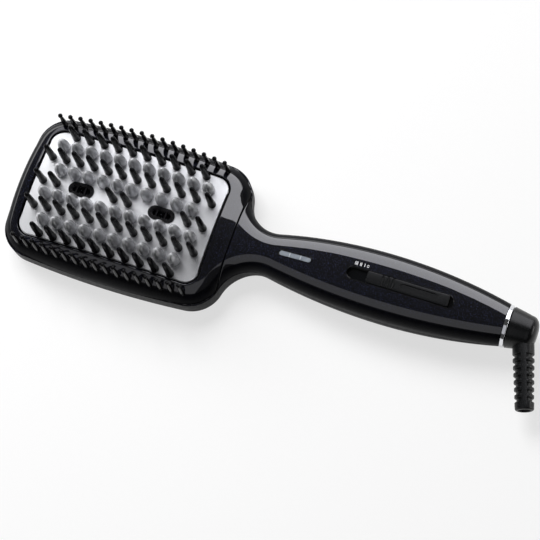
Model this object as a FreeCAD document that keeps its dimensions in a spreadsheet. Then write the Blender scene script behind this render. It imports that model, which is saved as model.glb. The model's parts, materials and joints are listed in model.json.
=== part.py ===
"""Heated styling brush, modelled lying on its back in millimetres.

X runs from the paddle to the cord end, Y across the paddle and Z up out of the heated plate.
The origin is on the flat back of the paddle, below the middle of the plate.
"""
import FreeCAD, Part

import math
import os
import re

import Sketcher
from FreeCAD import Placement, Rotation, Vector

# Driving dimensions, each one written once
SIZES = [
    # heated plate
    ("plate_length", 110.0),
    ("plate_width", 65.0),
    ("plate_corner", 8.0),
    ("plate_thickness", 2.0),
    ("plate_apex", 31.0),
    ("crown_along", 300.0),
    ("crown_across", 140.0),
    ("plate_gap", 0.3),
    ("plate_post_x", 38.0),
    ("plate_post_radius", 2.8),
    ("plate_post_foot", 7.0),
    # nubs and bristles
    ("bristle_pitch", 8.9),
    ("row_pitch", 7.5),
    ("nub_base", 7.4),
    ("nub_height", 11.5),
    ("bristle_length", 18.5),
    ("bristle_base", 4.2),
    ("bristle_tip", 2.5),
    ("bristle_bar_width", 4.6),
    ("bristle_bar_thick", 2.0),
    ("seat_gap", 0.1),
    # ion outlets
    ("outlet_x", 24.5),
    ("outlet_length", 14.0),
    ("outlet_width", 6.5),
    ("outlet_wall", 1.0),
    ("outlet_floor", 25.0),
    ("outlet_rim", 0.8),
    ("outlet_proud", 0.5),
    ("outlet_bar", 0.8),
    ("outlet_bar_low", 28.0),
    ("outlet_bar_spread", 2.6),
    ("needle_radius", 0.6),
    ("needle_length", 3.6),
    ("needle_tip", 0.15),
    # paddle
    ("tip_reach", 66.1),
    ("paddle_width", 90.2),
    ("tip_bow", 290.0),
    ("tip_corner", 18.0),
    ("side_x", 2.0),
    ("side_bow", 570.0),
    ("shoulder_x", 48.3),
    ("shoulder_radius", 19.0),
    ("back_edge", 5.0),
    ("bezel_lip", 0.6),
    # comb teeth
    ("comb_inset", 5.4),
    ("comb_x", -0.6),
    ("comb_depth", 3.1),
    ("comb_pitch", 6.3),
    ("comb_bar_width", 2.8),
    ("comb_bar_thick", 2.0),
    ("tooth_rise", 14.1),
    ("tooth_base", 2.1),
    ("tooth_neck", 1.3),
    ("tooth_ball", 1.9),
    # neck and handle
    ("neck_fillet", 20.0),
    ("handle_width", 38.1),
    ("handle_wide_x", 156.0),
    ("handle_bulge", 335.0),
    ("handle_end", 224.5),
    ("handle_top", 30.0),
    ("handle_top_x", 160.0),
    ("handle_top_radius", 590.0),
    ("belly_x", 160.0),
    ("belly_radius", 560.0),
    ("grip_edge", 12.0),
    ("front_edge", 9.5),
    ("dip_start", 60.0),
    ("dip_end", 110.0),
    ("seam_x", 66.0),
    ("axis_height", 15.0),
    ("wall", 2.2),
    ("front_wall", 3.0),
    ("front_side", 3.6),
    ("grip_floor", 3.0),
    ("grip_side", 5.2),
    # indicator window
    ("lens_x", 104.0),
    ("lens_length", 20.0),
    ("lens_width", 3.5),
    ("lens_recess", 0.8),
    ("lens_border", 1.7),
    ("lens_pitch", 6.4),
    ("lens_leg", 1.2),
    ("lens_flange", 1.0),
    ("led_size", 2.4),
    ("led_height", 1.8),
    # slide switch
    ("tray_front", 134.5),
    ("tray_length", 61.0),
    ("tray_width", 7.5),
    ("tray_floor", 27.2),
    ("tray_skin", 1.2),
    ("slider_front", 146.0),
    ("slider_length", 47.0),
    ("slider_top", 30.4),
    ("slider_gap", 0.35),
    ("slider_travel", 8.0),
    ("slider_leg_length", 8.0),
    ("slider_leg_width", 3.0),
    ("slider_leg_foot", 23.2),
    ("ridge_pitch", 3.0),
    ("ridge_height", 0.8),
    ("ridge_rim", 0.7),
    ("ridge_inset", 9.0),
    ("panel_inset", 19.3),
    ("panel_length", 21.0),
    ("panel_depth", 0.5),
    ("panel_rim", 1.0),
    ("knob_size", 3.0),
    ("knob_top", 26.2),
    ("knob_sink", 2.0),
    ("switch_length", 26.0),
    ("switch_width", 9.0),
    ("switch_height", 5.0),
    # control board
    ("board_start", 94.0),
    ("board_end", 186.0),
    ("board_width", 17.0),
    ("board_bottom", 16.0),
    ("board_thick", 1.6),
    ("board_hole_x", 4.5),
    ("board_hole_y", 5.5),
    ("standoff_radius", 2.4),
    # heaters and their holder
    ("carrier_inset", 0.5),
    ("carrier_wall", 2.5),
    ("carrier_floor", 2.0),
    ("rib_thick", 2.0),
    ("rib_x", 42.0),
    ("heater_length", 90.0),
    ("heater_width", 8.6),
    ("heater_thick", 4.0),
    ("heater_y", 8.2),
    ("heater_top", 24.5),
    ("mica_thick", 0.5),
    ("clamp_thick", 1.0),
    ("clamp_length", 94.0),
    ("clamp_width", 26.0),
    ("sensor_radius", 1.2),
    ("sensor_length", 6.0),
    ("fuse_radius", 1.6),
    ("fuse_length", 8.0),
    ("probe_x", 12.5),
    ("ionizer_x", 6.0),
    ("ionizer_length", 30.0),
    ("ionizer_width", 16.0),
    ("ionizer_height", 11.0),
    # screws
    ("screw_radius", 1.3),
    ("screw_head", 2.6),
    ("screw_head_height", 1.8),
    ("screw_grip", 5.0),
    ("screw_gap", 0.05),
    ("overcut", 1.0),
    ("head_gap", 0.3),
    ("boss_radius", 3.9),
    ("boss_meet", 9.0),
    ("post_radius", 2.9),
    ("recess_depth", 3.0),
    ("tip_screw_x", 58.0),
    ("tip_screw_y", 31.55),
    ("shoulder_screw_x", 59.0),
    ("shoulder_screw_y", 32.0),
    ("neck_screw_x", 84.0),
    ("grip_screw_x", 190.0),
    ("grip_screw_y", 11.2),
    ("grip_recess", 5.6),
    # cord end
    ("ring_width", 2.4),
    ("ring_radius", 12.0),
    ("nose_radius", 6.9),
    ("bush_radius", 7.4),
    ("bush_flange", 8.0),
    ("bush_flange_width", 3.0),
    ("bush_tail", 3.5),
    ("spindle_radius", 5.0),
    ("spindle_bore", 3.0),
    ("spindle_run", 0.06),
    ("spindle_start", 195.0),
    ("plug_radius", 9.0),
    ("plug_width", 1.8),
    ("swivel_gap", 0.3),
    ("clip_groove", 4.2),
    ("clip_radius", 7.0),
    ("clip_thick", 1.1),
    ("sleeve_radius", 6.2),
    ("sleeve_length", 13.0),
    ("contact_radius", 6.8),
    ("contact_width", 2.5),
    ("contact_pitch", 6.0),
    ("spring_thick", 0.5),
    ("block_thick", 2.0),
    ("block_foot", 8.0),
    ("cap_mouth", 11.6),
    ("cap_end_radius", 9.6),
    ("cap_length", 10.4),
    ("cap_dome", 5.3),
    ("cap_bore", 8.0),
    # strain relief boot
    ("boot_root_x", 234.8),
    ("boot_lean", 18.2),
    ("boot_reach", 44.3),
    ("boot_wide", 6.0),
    ("boot_narrow", 5.2),
    ("boot_neck", 5.0),
    ("boot_foot", 2.0),
    ("boot_flange", 5.3),
    ("boot_flange_width", 2.0),
    ("boot_collar", 13.6),
    ("boot_bore", 3.3),
    ("boot_groove_pitch", 4.03),
    ("boot_groove_width", 2.06),
    ("boot_groove_depth", 1.1),
    ("boot_spine", 34.0),
    ("boot_end_round", 1.4),
]
# Counts of what repeats
SHORT_ROW = 10
LONG_ROW = 12
NUB_LONG_ROW = 11
NUB_SHORT_ROW = 10
COMB_TEETH = 17
BOOT_GROOVES = 7
RIDGES = 3
SEGMENTS = 3
CONTACTS = 2
# Sides of small round pieces that repeat
PIN_SIDES = 6
NUB_SIDES = 8
RECESS_SIDES = 12
# Shares of height and radius along a nub, from its foot to its crown
NUB_PROFILE = ((0.0, 1.0), (0.5, 0.87), (0.82, 0.62), (1.0, 0.32))
# Larger than the whole brush, and higher than its bristles, for cutting solids
BEYOND = 400.0
ABOVE = 60.0
# Smaller than any size, for telling places apart
TINY = 0.001
# Share of a slot's half width taken by the corners of its round ends
ROUND_END = 0.999
HALF_TURN = 180.0

doc = FreeCAD.newDocument("heated_styling_brush")
sheet = doc.addObject("Spreadsheet::Sheet", "Sizes")
for row, (size_name, size_value) in enumerate(SIZES, start=1):
    sheet.set("A%d" % row, size_name)
    sheet.set("B%d" % row, str(size_value))
    sheet.setAlias("B%d" % row, size_name)
doc.recompute()
D = {size_name: float(sheet.get(size_name)) for size_name, size_value in SIZES}
pieces = []


def piece(item, label):
    """Names a sub-part, and lists it to be written."""
    item.Label = label
    pieces.append(item)
    return item


def solid_piece(label, shape):
    """A sub-part whose shape is set directly."""
    item = doc.addObject("Part::Feature", label)
    item.Shape = shape
    item.Placement = Placement()
    return piece(item, label)


def bind(item, prop, text):
    """Ties a property to an expression on the names of the sheet."""
    item.setExpression(prop, re.sub(r"[a-z]\w*", lambda word: "Sizes." + word.group(0), text))


def bound_place(item, corner):
    """Ties the three coordinates of an object's place."""
    for axis, text in zip("xyz", corner):
        bind(item, "Placement.Base." + axis, text)


def bound_box(name, corner, spans):
    """A box tied to the sheet by its low corner and its three lengths."""
    item = doc.addObject("Part::Box", name)
    for prop, text in zip(("Length", "Width", "Height"), spans):
        bind(item, prop, text)
    bound_place(item, corner)
    return item


def bound_cylinder(name, base, radius, height, along=Vector(0, 0, 1)):
    """A cylinder tied to the sheet by the middle of its base."""
    item = doc.addObject("Part::Cylinder", name)
    bind(item, "Radius", radius)
    bind(item, "Height", height)
    item.Placement = Placement(Vector(), Rotation(Vector(0, 0, 1), along))
    bound_place(item, base)
    return item


def bound_cut(name, base, tools):
    """A base with tools cut out of it."""
    joined = tools[0]
    if len(tools) > 1:
        joined = doc.addObject("Part::MultiFuse", name + "_tools")
        joined.Shapes = tools
    item = doc.addObject("Part::Cut", name)
    item.Base = base
    item.Tool = joined
    return item


def bound_fuse(name, parts):
    """Several solids joined into one piece."""
    item = doc.addObject("Part::MultiFuse", name)
    item.Shapes = parts
    return item


def bound_group(name, parts):
    """Several separate solids kept in one piece."""
    item = doc.addObject("Part::Compound", name)
    item.Links = parts
    return item


def bound_turning(name, profile):
    """A body turned about the handle's axis from corners given as pairs of along and radius."""
    body = doc.addObject("PartDesign::Body", name)
    bind(body, "Placement.Base.z", "axis_height")
    sketch = body.newObject("Sketcher::SketchObject", name + "_profile")
    plane = [p for p in body.Origin.OriginFeatures if p.Role == "XY_Plane"][0]
    sketch.AttachmentSupport = (plane, "")
    sketch.MapMode = "FlatFace"
    corners = [Vector(value(along), value(radius), 0) for along, radius in profile]
    count = len(corners)
    for index in range(count):
        sketch.addGeometry(Part.LineSegment(corners[index], corners[(index + 1) % count]), False)
    for index in range(count):
        sketch.addConstraint(Sketcher.Constraint("Coincident", index, 2, (index + 1) % count, 1))
    for index, (along, radius) in enumerate(profile):
        for kind, text in (("DistanceX", along), ("DistanceY", radius)):
            number = sketch.addConstraint(
                Sketcher.Constraint(kind, -1, 1, index, 1, value(text))
            )
            bind(sketch, "Constraints[%d]" % number, text)
    turned = body.newObject("PartDesign::Revolution", name + "_turned")
    turned.Profile = sketch
    turned.ReferenceAxis = (sketch, ["H_Axis"])
    turned.Angle = 360.0
    return body


def value(text):
    """The number that an expression on the sheet's names gives."""
    total = 0.0
    sign = 1.0
    for token in text.split():
        if token in "+-":
            sign = 1.0 if token == "+" else -1.0
        else:
            total += sign * (D[token] if token in D else float(token))
    return total


# Outline of the paddle, neck and handle, seen from the front
def arc_between(centre, radius, start, end):
    """The shorter arc round a centre."""
    first = math.atan2(start.y - centre.y, start.x - centre.x)
    last = math.atan2(end.y - centre.y, end.x - centre.x)
    sweep = (last - first + math.pi) % (2 * math.pi) - math.pi
    middle = first + sweep / 2
    through = centre + Vector(radius * math.cos(middle), radius * math.sin(middle), 0)
    return Part.Arc(start, through, end).toShape()


def circles_meet(first, first_radius, second, second_radius):
    """The upper point where two circles meet."""
    across = second - first
    span = across.Length
    foot = (first_radius ** 2 - second_radius ** 2 + span ** 2) / (2 * span)
    rise = math.sqrt(first_radius ** 2 - foot ** 2)
    along = across * (1 / span)
    side = Vector(-along.y, along.x, 0)
    return max((first + along * foot + side * rise, first + along * foot - side * rise), key=lambda p: p.y)


def arc_height_at(centre, radius, x):
    """Y of the upper side of a circle at this X."""
    return centre.y + math.sqrt(radius ** 2 - (x - centre.x) ** 2)


def outline(inset, end):
    """Closed outline, set in from the outside, as tangent arcs; it ends square at the handle."""
    tip = Vector(D["tip_bow"] - D["tip_reach"], 0, 0)
    side = Vector(D["side_x"], D["paddle_width"] / 2 - D["side_bow"], 0)
    corner = circles_meet(tip, D["tip_bow"] - D["tip_corner"], side, D["side_bow"] - D["tip_corner"])
    shoulder_y = arc_height_at(side, D["side_bow"] - D["shoulder_radius"], D["shoulder_x"])
    shoulder = Vector(D["shoulder_x"], shoulder_y, 0)
    bulge = Vector(D["handle_wide_x"], D["handle_width"] / 2 - D["handle_bulge"], 0)
    neck = circles_meet(
        shoulder, D["shoulder_radius"] + D["neck_fillet"], bulge, D["handle_bulge"] + D["neck_fillet"]
    )
    tip_r = D["tip_bow"] - inset
    side_r = D["side_bow"] - inset
    shoulder_r = D["shoulder_radius"] - inset
    neck_r = D["neck_fillet"] + inset
    bulge_r = D["handle_bulge"] - inset
    front = tip + Vector(-tip_r, 0, 0)
    tip_end = tip + (corner - tip).normalize() * tip_r
    side_start = side + (corner - side).normalize() * side_r
    side_end = side + (shoulder - side).normalize() * side_r
    turn = shoulder + (neck - shoulder).normalize() * shoulder_r
    narrow = neck + (bulge - neck).normalize() * neck_r
    stop = Vector(end, arc_height_at(bulge, bulge_r, end), 0)
    upper = [
        arc_between(tip, tip_r, front, tip_end),
        arc_between(corner, D["tip_corner"] - inset, tip_end, side_start),
        arc_between(side, side_r, side_start, side_end),
        arc_between(shoulder, shoulder_r, side_end, turn),
        arc_between(neck, neck_r, turn, narrow),
        arc_between(bulge, bulge_r, narrow, stop),
    ]
    lower = [edge.mirror(Vector(), Vector(0, 1, 0)) for edge in upper]
    end_line = Part.LineSegment(stop, Vector(stop.x, -stop.y, 0)).toShape()
    return Part.Wire(Part.__sortEdges__(upper + lower + [end_line])), turn.x, narrow.x


def raised(wire, low, high):
    """A straight solid on an outline, between two heights."""
    face = Part.Face(wire)
    face.translate(Vector(0, 0, low))
    return face.extrude(Vector(0, 0, high - low))


def rounded_box(length, width, corner, low, high):
    """A rounded rectangle about the middle of the plate, between two heights."""
    across = length / 2 - corner
    up = width / 2 - corner
    edges = []
    for turn in range(4):
        sx = (1, -1, -1, 1)[turn]
        sy = (1, 1, -1, -1)[turn]
        centre = Vector(sx * across, sy * up, 0)
        first = centre + Vector(sx * corner, 0, 0)
        last = centre + Vector(0, sy * corner, 0)
        edges.append(arc_between(centre, corner, first, last))
    for sign in (1, -1):
        edge_y = sign * width / 2
        edge_x = sign * length / 2
        edges.append(Part.LineSegment(Vector(-across, edge_y, 0), Vector(across, edge_y, 0)).toShape())
        edges.append(Part.LineSegment(Vector(edge_x, -up, 0), Vector(edge_x, up, 0)).toShape())
    return raised(Part.Wire(Part.__sortEdges__(edges)), low, high)


def stadium(middle_x, length, width, low, high):
    """A slot shape with round ends along X, between two heights."""
    slot = rounded_box(length, width, width / 2 * ROUND_END, low, high)
    slot.translate(Vector(middle_x, 0, 0))
    return slot


def block(x_low, x_high, y_low, y_high, z_low, z_high):
    """A plain block between limits."""
    return Part.makeBox(x_high - x_low, y_high - y_low, z_high - z_low, Vector(x_low, y_low, z_low))


def tapered(x, y, rings, sides=PIN_SIDES):
    """An upright many-sided taper through rings given as pairs of height and radius."""
    turns = [2 * math.pi * index / sides for index in range(sides)]
    loops = []
    for height, radius in rings:
        loops.append([Vector(x + radius * math.cos(t), y + radius * math.sin(t), height) for t in turns])
    outlines = [loops[0][::-1], loops[-1]]
    for low, high in zip(loops, loops[1:]):
        for index in range(sides):
            after = (index + 1) % sides
            outlines.append([low[index], low[after], high[after], high[index]])
    faces = [Part.Face(Part.makePolygon(corners + corners[:1])) for corners in outlines]
    return Part.makeSolid(Part.makeShell(faces))


def rod(x, y, low, high, radius, sides=PIN_SIDES):
    """An upright many-sided rod."""
    return tapered(x, y, ((low, radius), (high, radius)), sides)


# Front of the brush: a top line along X, falling to both sides with the square of Y
TOP_START = -90.0
TOP_STEP = 20.0
TOP_COUNT = 18
CROWN_REACH = 90.0
# Control heights of a parabola across the crown, at its two edges and its middle
CROWN_SPOTS = ((-1, 1), (0, -1), (1, 1))
ACROSS_DEGREE = 2


def side_fall(y):
    """How far the crown has fallen at this place across it."""
    return y ** 2 / (2 * D["crown_across"])


def plate_height(x, y):
    """Height of the plate's outer face."""
    return D["plate_apex"] - x ** 2 / (2 * D["crown_along"]) - side_fall(y)


def arch_height(x):
    """Height of the handle's arched top line."""
    drop = D["handle_top_radius"] - math.sqrt(D["handle_top_radius"] ** 2 - (x - D["handle_top_x"]) ** 2)
    return D["handle_top"] - drop


def top_line(x):
    """Height of the front along its middle: the paddle's crown, the dip at the neck, the handle's arch."""
    start = D["dip_start"]
    end = D["dip_end"]
    if x <= start:
        return plate_height(x, 0) + D["bezel_lip"]
    if x >= end:
        return arch_height(x)
    share = (x - start) / (end - start)
    leave = -start / D["crown_along"] * (end - start)
    arrive = (D["handle_top_x"] - end) / D["handle_top_radius"] * (end - start)
    before = plate_height(start, 0) + D["bezel_lip"]
    after = arch_height(end)
    bend = (1 - share) * (leave - (after - before)) - share * (arrive - (after - before))
    return before + share * (after - before) + share * (1 - share) * bend


def front_height(x, y):
    """Height of the front before its edge is rounded."""
    return top_line(x) - side_fall(y)


def crowned_slab(line, depth):
    """Solid of this depth below the crown that has this top line."""
    spots = [TOP_START + TOP_STEP * index for index in range(TOP_COUNT)]
    curve = Part.BSplineCurve()
    curve.interpolate([Vector(x, 0, line(x)) for x in spots])
    poles = []
    for pole in curve.getPoles():
        poles.append([
            Vector(pole.x, CROWN_REACH * across, pole.z - side_fall(CROWN_REACH) * fall)
            for across, fall in CROWN_SPOTS
        ])
    surface = Part.BSplineSurface()
    across_knots = [0.0, 1.0]
    across_mults = [ACROSS_DEGREE + 1, ACROSS_DEGREE + 1]
    surface.buildFromPolesMultsKnots(
        poles, curve.getMultiplicities(), across_mults, curve.getKnots(), across_knots,
        False, False, curve.Degree, ACROSS_DEGREE,
    )
    return surface.toShape().extrude(Vector(0, 0, -depth))


def below_plate(shift, depth=BEYOND):
    """Solid below the plate's crown, moved down by a shift."""
    return crowned_slab(lambda x: plate_height(x, 0) - shift, depth)


def below_front(shift, depth=BEYOND):
    """Solid below the crown of the whole front, moved down by a shift."""
    return crowned_slab(lambda x: top_line(x) - shift, depth)


def above_belly(inset):
    """Solid above the flat back and the belly of the handle that rises behind it."""
    radius = D["belly_radius"] - inset
    centre = Vector(D["belly_x"], -BEYOND, D["belly_radius"])
    ball = Part.makeCylinder(radius, 2 * BEYOND, centre, Vector(0, 1, 0))
    behind = block(D["belly_x"], BEYOND, -BEYOND, BEYOND, inset, BEYOND)
    before = block(-BEYOND, D["belly_x"], -BEYOND, BEYOND, inset, BEYOND)
    return ball.common(behind).fuse(before).removeSplitter()


def rounded_below(shape, turn_x, narrow_x, paddle_edge, grip_edge):
    """Rounds the lower edges: small round the paddle, growing along the neck to the grip's rounding."""
    holder = doc.addObject("Part::Feature", "lower_form")
    holder.Shape = shape
    chosen = []
    for number, edge in enumerate(shape.Edges, start=1):
        first = edge.valueAt(edge.FirstParameter)
        last = edge.valueAt(edge.LastParameter)
        middle = edge.valueAt((edge.FirstParameter + edge.LastParameter) / 2)
        crosses = abs(first.x - last.x) < TINY and middle.x > 0
        if edge.BoundBox.ZMax > D["axis_height"] or middle.y < TINY or crosses:
            continue
        radii = []
        for spot in (first, last):
            share = min(max((spot.x - turn_x) / (narrow_x - turn_x), 0.0), 1.0)
            radii.append(paddle_edge + (grip_edge - paddle_edge) * share)
        chosen.append((number, radii[0], radii[1]))
    rounding = doc.addObject("Part::Fillet", "lower_rounding")
    rounding.Base = holder
    rounding.Edges = chosen
    doc.recompute()
    rounded = rounding.Shape.copy()
    doc.removeObject(rounding.Name)
    doc.removeObject(holder.Name)
    return rounded


def lower_form(inset):
    """Outer form of the back shell, or its hollow when set in by the wall."""
    end = D["handle_end"] - inset
    wire, turn_x, narrow_x = outline(inset, end)
    half_room = block(-BEYOND, BEYOND, 0, BEYOND, 0, BEYOND)
    half = raised(wire, 0, BEYOND).common(above_belly(inset)).common(half_room).removeSplitter()
    half = rounded_below(half, turn_x, narrow_x, D["back_edge"] - inset, D["grip_edge"] - inset)
    return half.fuse(half.mirror(Vector(), Vector(0, 1, 0))).removeSplitter()


def front_form(inset):
    """Outer form of the front, or its hollow when set in by the wall, with one rounding along its edge."""
    wire = outline(inset, D["handle_end"] - inset)[0]
    half_room = block(-BEYOND, BEYOND, 0, BEYOND, -ABOVE, BEYOND)
    half = raised(wire, -BEYOND, BEYOND).common(below_front(inset)).common(half_room).removeSplitter()
    rim = []
    for edge in half.Edges:
        first = edge.valueAt(edge.FirstParameter)
        last = edge.valueAt(edge.LastParameter)
        middle = edge.valueAt((edge.FirstParameter + edge.LastParameter) / 2)
        crosses = abs(first.x - last.x) < TINY and middle.x > 0
        if edge.BoundBox.ZMin > 0 and middle.y > TINY and not crosses:
            rim.append(edge)
    half = half.makeFillet(D["front_edge"] - inset, rim)
    whole = half.fuse(half.mirror(Vector(), Vector(0, 1, 0))).removeSplitter()
    return whole.common(block(-BEYOND, BEYOND, -BEYOND, BEYOND, D["axis_height"], BEYOND))


def back_hollow():
    """Space inside the back shell: square-cornered, deeper in from the sides where the grip is rounder."""
    end = D["handle_end"] - D["wall"]
    paddle = raised(outline(D["wall"], end)[0], D["wall"], BEYOND)
    grip = raised(outline(D["grip_side"], end)[0], 0, BEYOND).common(above_belly(D["grip_floor"]))
    before = block(-BEYOND, D["dip_start"], -BEYOND, BEYOND, 0, BEYOND)
    behind = block(D["dip_start"], BEYOND, -BEYOND, BEYOND, 0, BEYOND)
    return paddle.common(before).fuse(grip.common(behind))


def front_hollow(gap=0.0):
    """Space inside the front, set in further by a gap."""
    wire = outline(D["front_side"] + gap, D["handle_end"] - D["wall"])[0]
    return raised(wire, 0, BEYOND).common(below_front(D["front_wall"] + gap))


# Places of what repeats
def row_places(count, y):
    """Evenly spaced places along one row of the plate."""
    return [((index - (count - 1) / 2) * D["bristle_pitch"], y) for index in range(count)]


pitch = D["row_pitch"]
nub_places = []
for nub_row, nub_count in ((3, NUB_LONG_ROW), (1, NUB_SHORT_ROW), (-1, NUB_LONG_ROW), (-3, NUB_SHORT_ROW)):
    nub_places += row_places(nub_count, nub_row * pitch)
strip_rows = {
    "bristle_strip_1": row_places(SHORT_ROW, 4 * pitch),
    "bristle_strip_2": row_places(LONG_ROW, 2 * pitch),
    "bristle_strip_3": row_places(LONG_ROW, -2 * pitch),
    "bristle_strip_4": row_places(SHORT_ROW, -4 * pitch),
}
centre_row = row_places(LONG_ROW, 0)
strip_rows["bristle_pair_front"] = centre_row[:2]
strip_rows["bristle_pair_middle"] = centre_row[LONG_ROW // 2 - 1:LONG_ROW // 2 + 1]
strip_rows["bristle_pair_rear"] = centre_row[-2:]
comb_bow = D["side_bow"] - D["comb_inset"]
comb_centre = Vector(D["side_x"], D["paddle_width"] / 2 - D["side_bow"], 0)
comb_places = []
for index in range(COMB_TEETH):
    tooth_x = D["comb_x"] + (index - (COMB_TEETH - 1) / 2) * D["comb_pitch"]
    comb_places.append((tooth_x, arc_height_at(comb_centre, comb_bow, tooth_x)))
corner_screws = [(-D["tip_screw_x"], D["tip_screw_y"]), (-D["tip_screw_x"], -D["tip_screw_y"])]
for side in (1, -1):
    corner_screws.append((D["shoulder_screw_x"], side * D["shoulder_screw_y"]))
neck_screws = [(D["neck_screw_x"], 0.0)]
grip_screws = [(D["grip_screw_x"], D["grip_screw_y"]), (D["grip_screw_x"], -D["grip_screw_y"])]
plate_screw_places = [
    (sx * D["plate_post_x"], sy * 3 * pitch) for sx in (-1, 1) for sy in (-1, 1)
]
board_screw_places = [
    (x, sy * D["board_hole_y"])
    for x in (D["board_start"] + D["board_hole_x"], D["board_end"] - D["board_hole_x"])
    for sy in (-1, 1)
]


def screw(x, y, seat, length):
    """A screw that points up, its head below the seat."""
    head = rod(x, y, seat - D["screw_head_height"], seat, D["screw_head"])
    return head.fuse(rod(x, y, seat, seat + length, D["screw_radius"])).removeSplitter()


def bored_post(x, y, low, high, radius):
    """An upright post with the pilot hole of its screw."""
    hole = rod(x, y, low, low + D["screw_grip"], D["screw_radius"] + D["screw_gap"])
    return rod(x, y, low, high, radius), hole


pilot = D["screw_radius"] + D["screw_gap"]
recess = D["screw_head"] + D["head_gap"]

# Back shell: paddle back and lower half of the handle
shell = lower_form(0.0).cut(back_hollow())
shell = shell.common(block(-BEYOND, BEYOND, -BEYOND, BEYOND, -BEYOND, D["axis_height"]))
inside = lower_form(D["wall"] / 2)
bosses = []
bores = []
for places, seat, top in (
    (corner_screws, D["recess_depth"], D["boss_meet"]),
    (neck_screws, D["recess_depth"], D["axis_height"]),
    (grip_screws, D["grip_recess"], D["axis_height"]),
):
    for x, y in places:
        bosses.append(rod(x, y, 0, top, D["boss_radius"]).common(inside))
        bores.append(rod(x, y, -BEYOND, seat, recess, RECESS_SIDES))
        bores.append(rod(x, y, seat, top, pilot))
for x, y in board_screw_places:
    bosses.append(rod(x, y, 0, D["board_bottom"], D["standoff_radius"]).common(inside))
    bores.append(rod(x, y, D["board_bottom"] - D["screw_grip"], D["board_bottom"], pilot))
for x, y in corner_screws:
    bores.append(rod(x, y, D["boss_meet"], BEYOND, D["post_radius"] + D["seat_gap"]))
inner_end = Vector(D["handle_end"] - D["wall"], 0, D["axis_height"])
bush_bore = Part.makeCylinder(D["bush_radius"] + D["seat_gap"], BEYOND, inner_end, Vector(1, 0, 0))
bush_room = Part.makeCylinder(
    D["bush_flange"] + D["swivel_gap"], D["bush_flange_width"] + D["bush_tail"], inner_end, Vector(-1, 0, 0)
)
solid_piece("back_shell", shell.multiFuse(bosses).cut(bores + [bush_bore, bush_room]).removeSplitter())

# Front frame round the plate, with the posts that its screws hold
opening = rounded_box(
    D["plate_length"] + 2 * D["plate_gap"], D["plate_width"] + 2 * D["plate_gap"],
    D["plate_corner"] + D["plate_gap"], 0, ABOVE,
)
front_skin = front_form(0.0).cut(front_hollow())
front_middle = front_form(D["wall"] / 2)
frame = front_skin.common(block(-BEYOND, D["seam_x"], -BEYOND, BEYOND, 0, ABOVE)).cut(opening)
posts = []
holes = []
for x, y in corner_screws:
    post, hole = bored_post(x, y, D["boss_meet"], ABOVE, D["post_radius"])
    low_part = post.common(block(-BEYOND, BEYOND, -BEYOND, BEYOND, 0, D["axis_height"]))
    posts.append(post.common(front_middle).fuse(low_part).removeSplitter())
    holes.append(hole)
for x, y in comb_places:
    for side in (1, -1):
        holes.append(rod(x, side * y, 0, ABOVE, (D["tooth_base"] + D["seat_gap"]) / 2))
solid_piece("paddle_bezel", frame.multiFuse(posts).cut(holes).removeSplitter())

# Handle cover, with the switch tray and the window
skin = front_skin.common(block(D["seam_x"], BEYOND, -BEYOND, BEYOND, 0, ABOVE))
tray_middle = D["tray_front"] + D["tray_length"] / 2
tray_tub = stadium(
    tray_middle, D["tray_length"] + 2 * D["tray_skin"], D["tray_width"] + 2 * D["tray_skin"],
    D["tray_floor"] - D["tray_skin"], D["handle_top"],
).common(front_middle)
cover_posts = []
cover_cuts = []
for x, y in neck_screws + grip_screws:
    post, hole = bored_post(x, y, D["axis_height"], D["handle_top"], D["post_radius"])
    cover_posts.append(post.common(front_middle))
    cover_cuts.append(hole)
tray_hole = stadium(tray_middle, D["tray_length"], D["tray_width"], D["tray_floor"], ABOVE)
leg_middle = D["slider_front"] + D["slider_length"] / 2
leg_slot = block(
    leg_middle - D["slider_travel"] - D["slider_leg_length"] / 2 - D["slider_gap"],
    leg_middle + D["slider_leg_length"] / 2 + D["slider_gap"],
    -D["slider_leg_width"] / 2 - D["slider_gap"], D["slider_leg_width"] / 2 + D["slider_gap"], 0, ABOVE,
)
lens_room = 2 * D["seat_gap"]
window = stadium(D["lens_x"], D["lens_length"] + lens_room, D["lens_width"] + lens_room, 0, ABOVE)
border = stadium(
    D["lens_x"], D["lens_length"] + 2 * D["lens_border"], D["lens_width"] + D["lens_border"],
    D["axis_height"], ABOVE,
).cut(below_front(D["lens_recess"]))
cover = skin.multiFuse([tray_tub] + cover_posts)
solid_piece(
    "handle_cover", cover.cut(cover_cuts + [tray_hole, leg_slot, window, border, bush_bore]).removeSplitter()
)

# Heated plate with its nubs, heater pads and screw posts
plate_block = rounded_box(D["plate_length"], D["plate_width"], D["plate_corner"], 0, ABOVE)
plate = below_plate(0.0, D["plate_thickness"]).common(plate_block)


def nub(x, y):
    """One heated nub: a bullet with a swelling side and a small flat crown."""
    foot = plate_height(x, y) - D["plate_thickness"] / 2
    rise = D["nub_height"] + D["plate_thickness"] / 2
    rings = [(foot + rise * share, D["nub_base"] / 2 * width) for share, width in NUB_PROFILE]
    return tapered(x, y, rings, NUB_SIDES)


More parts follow.
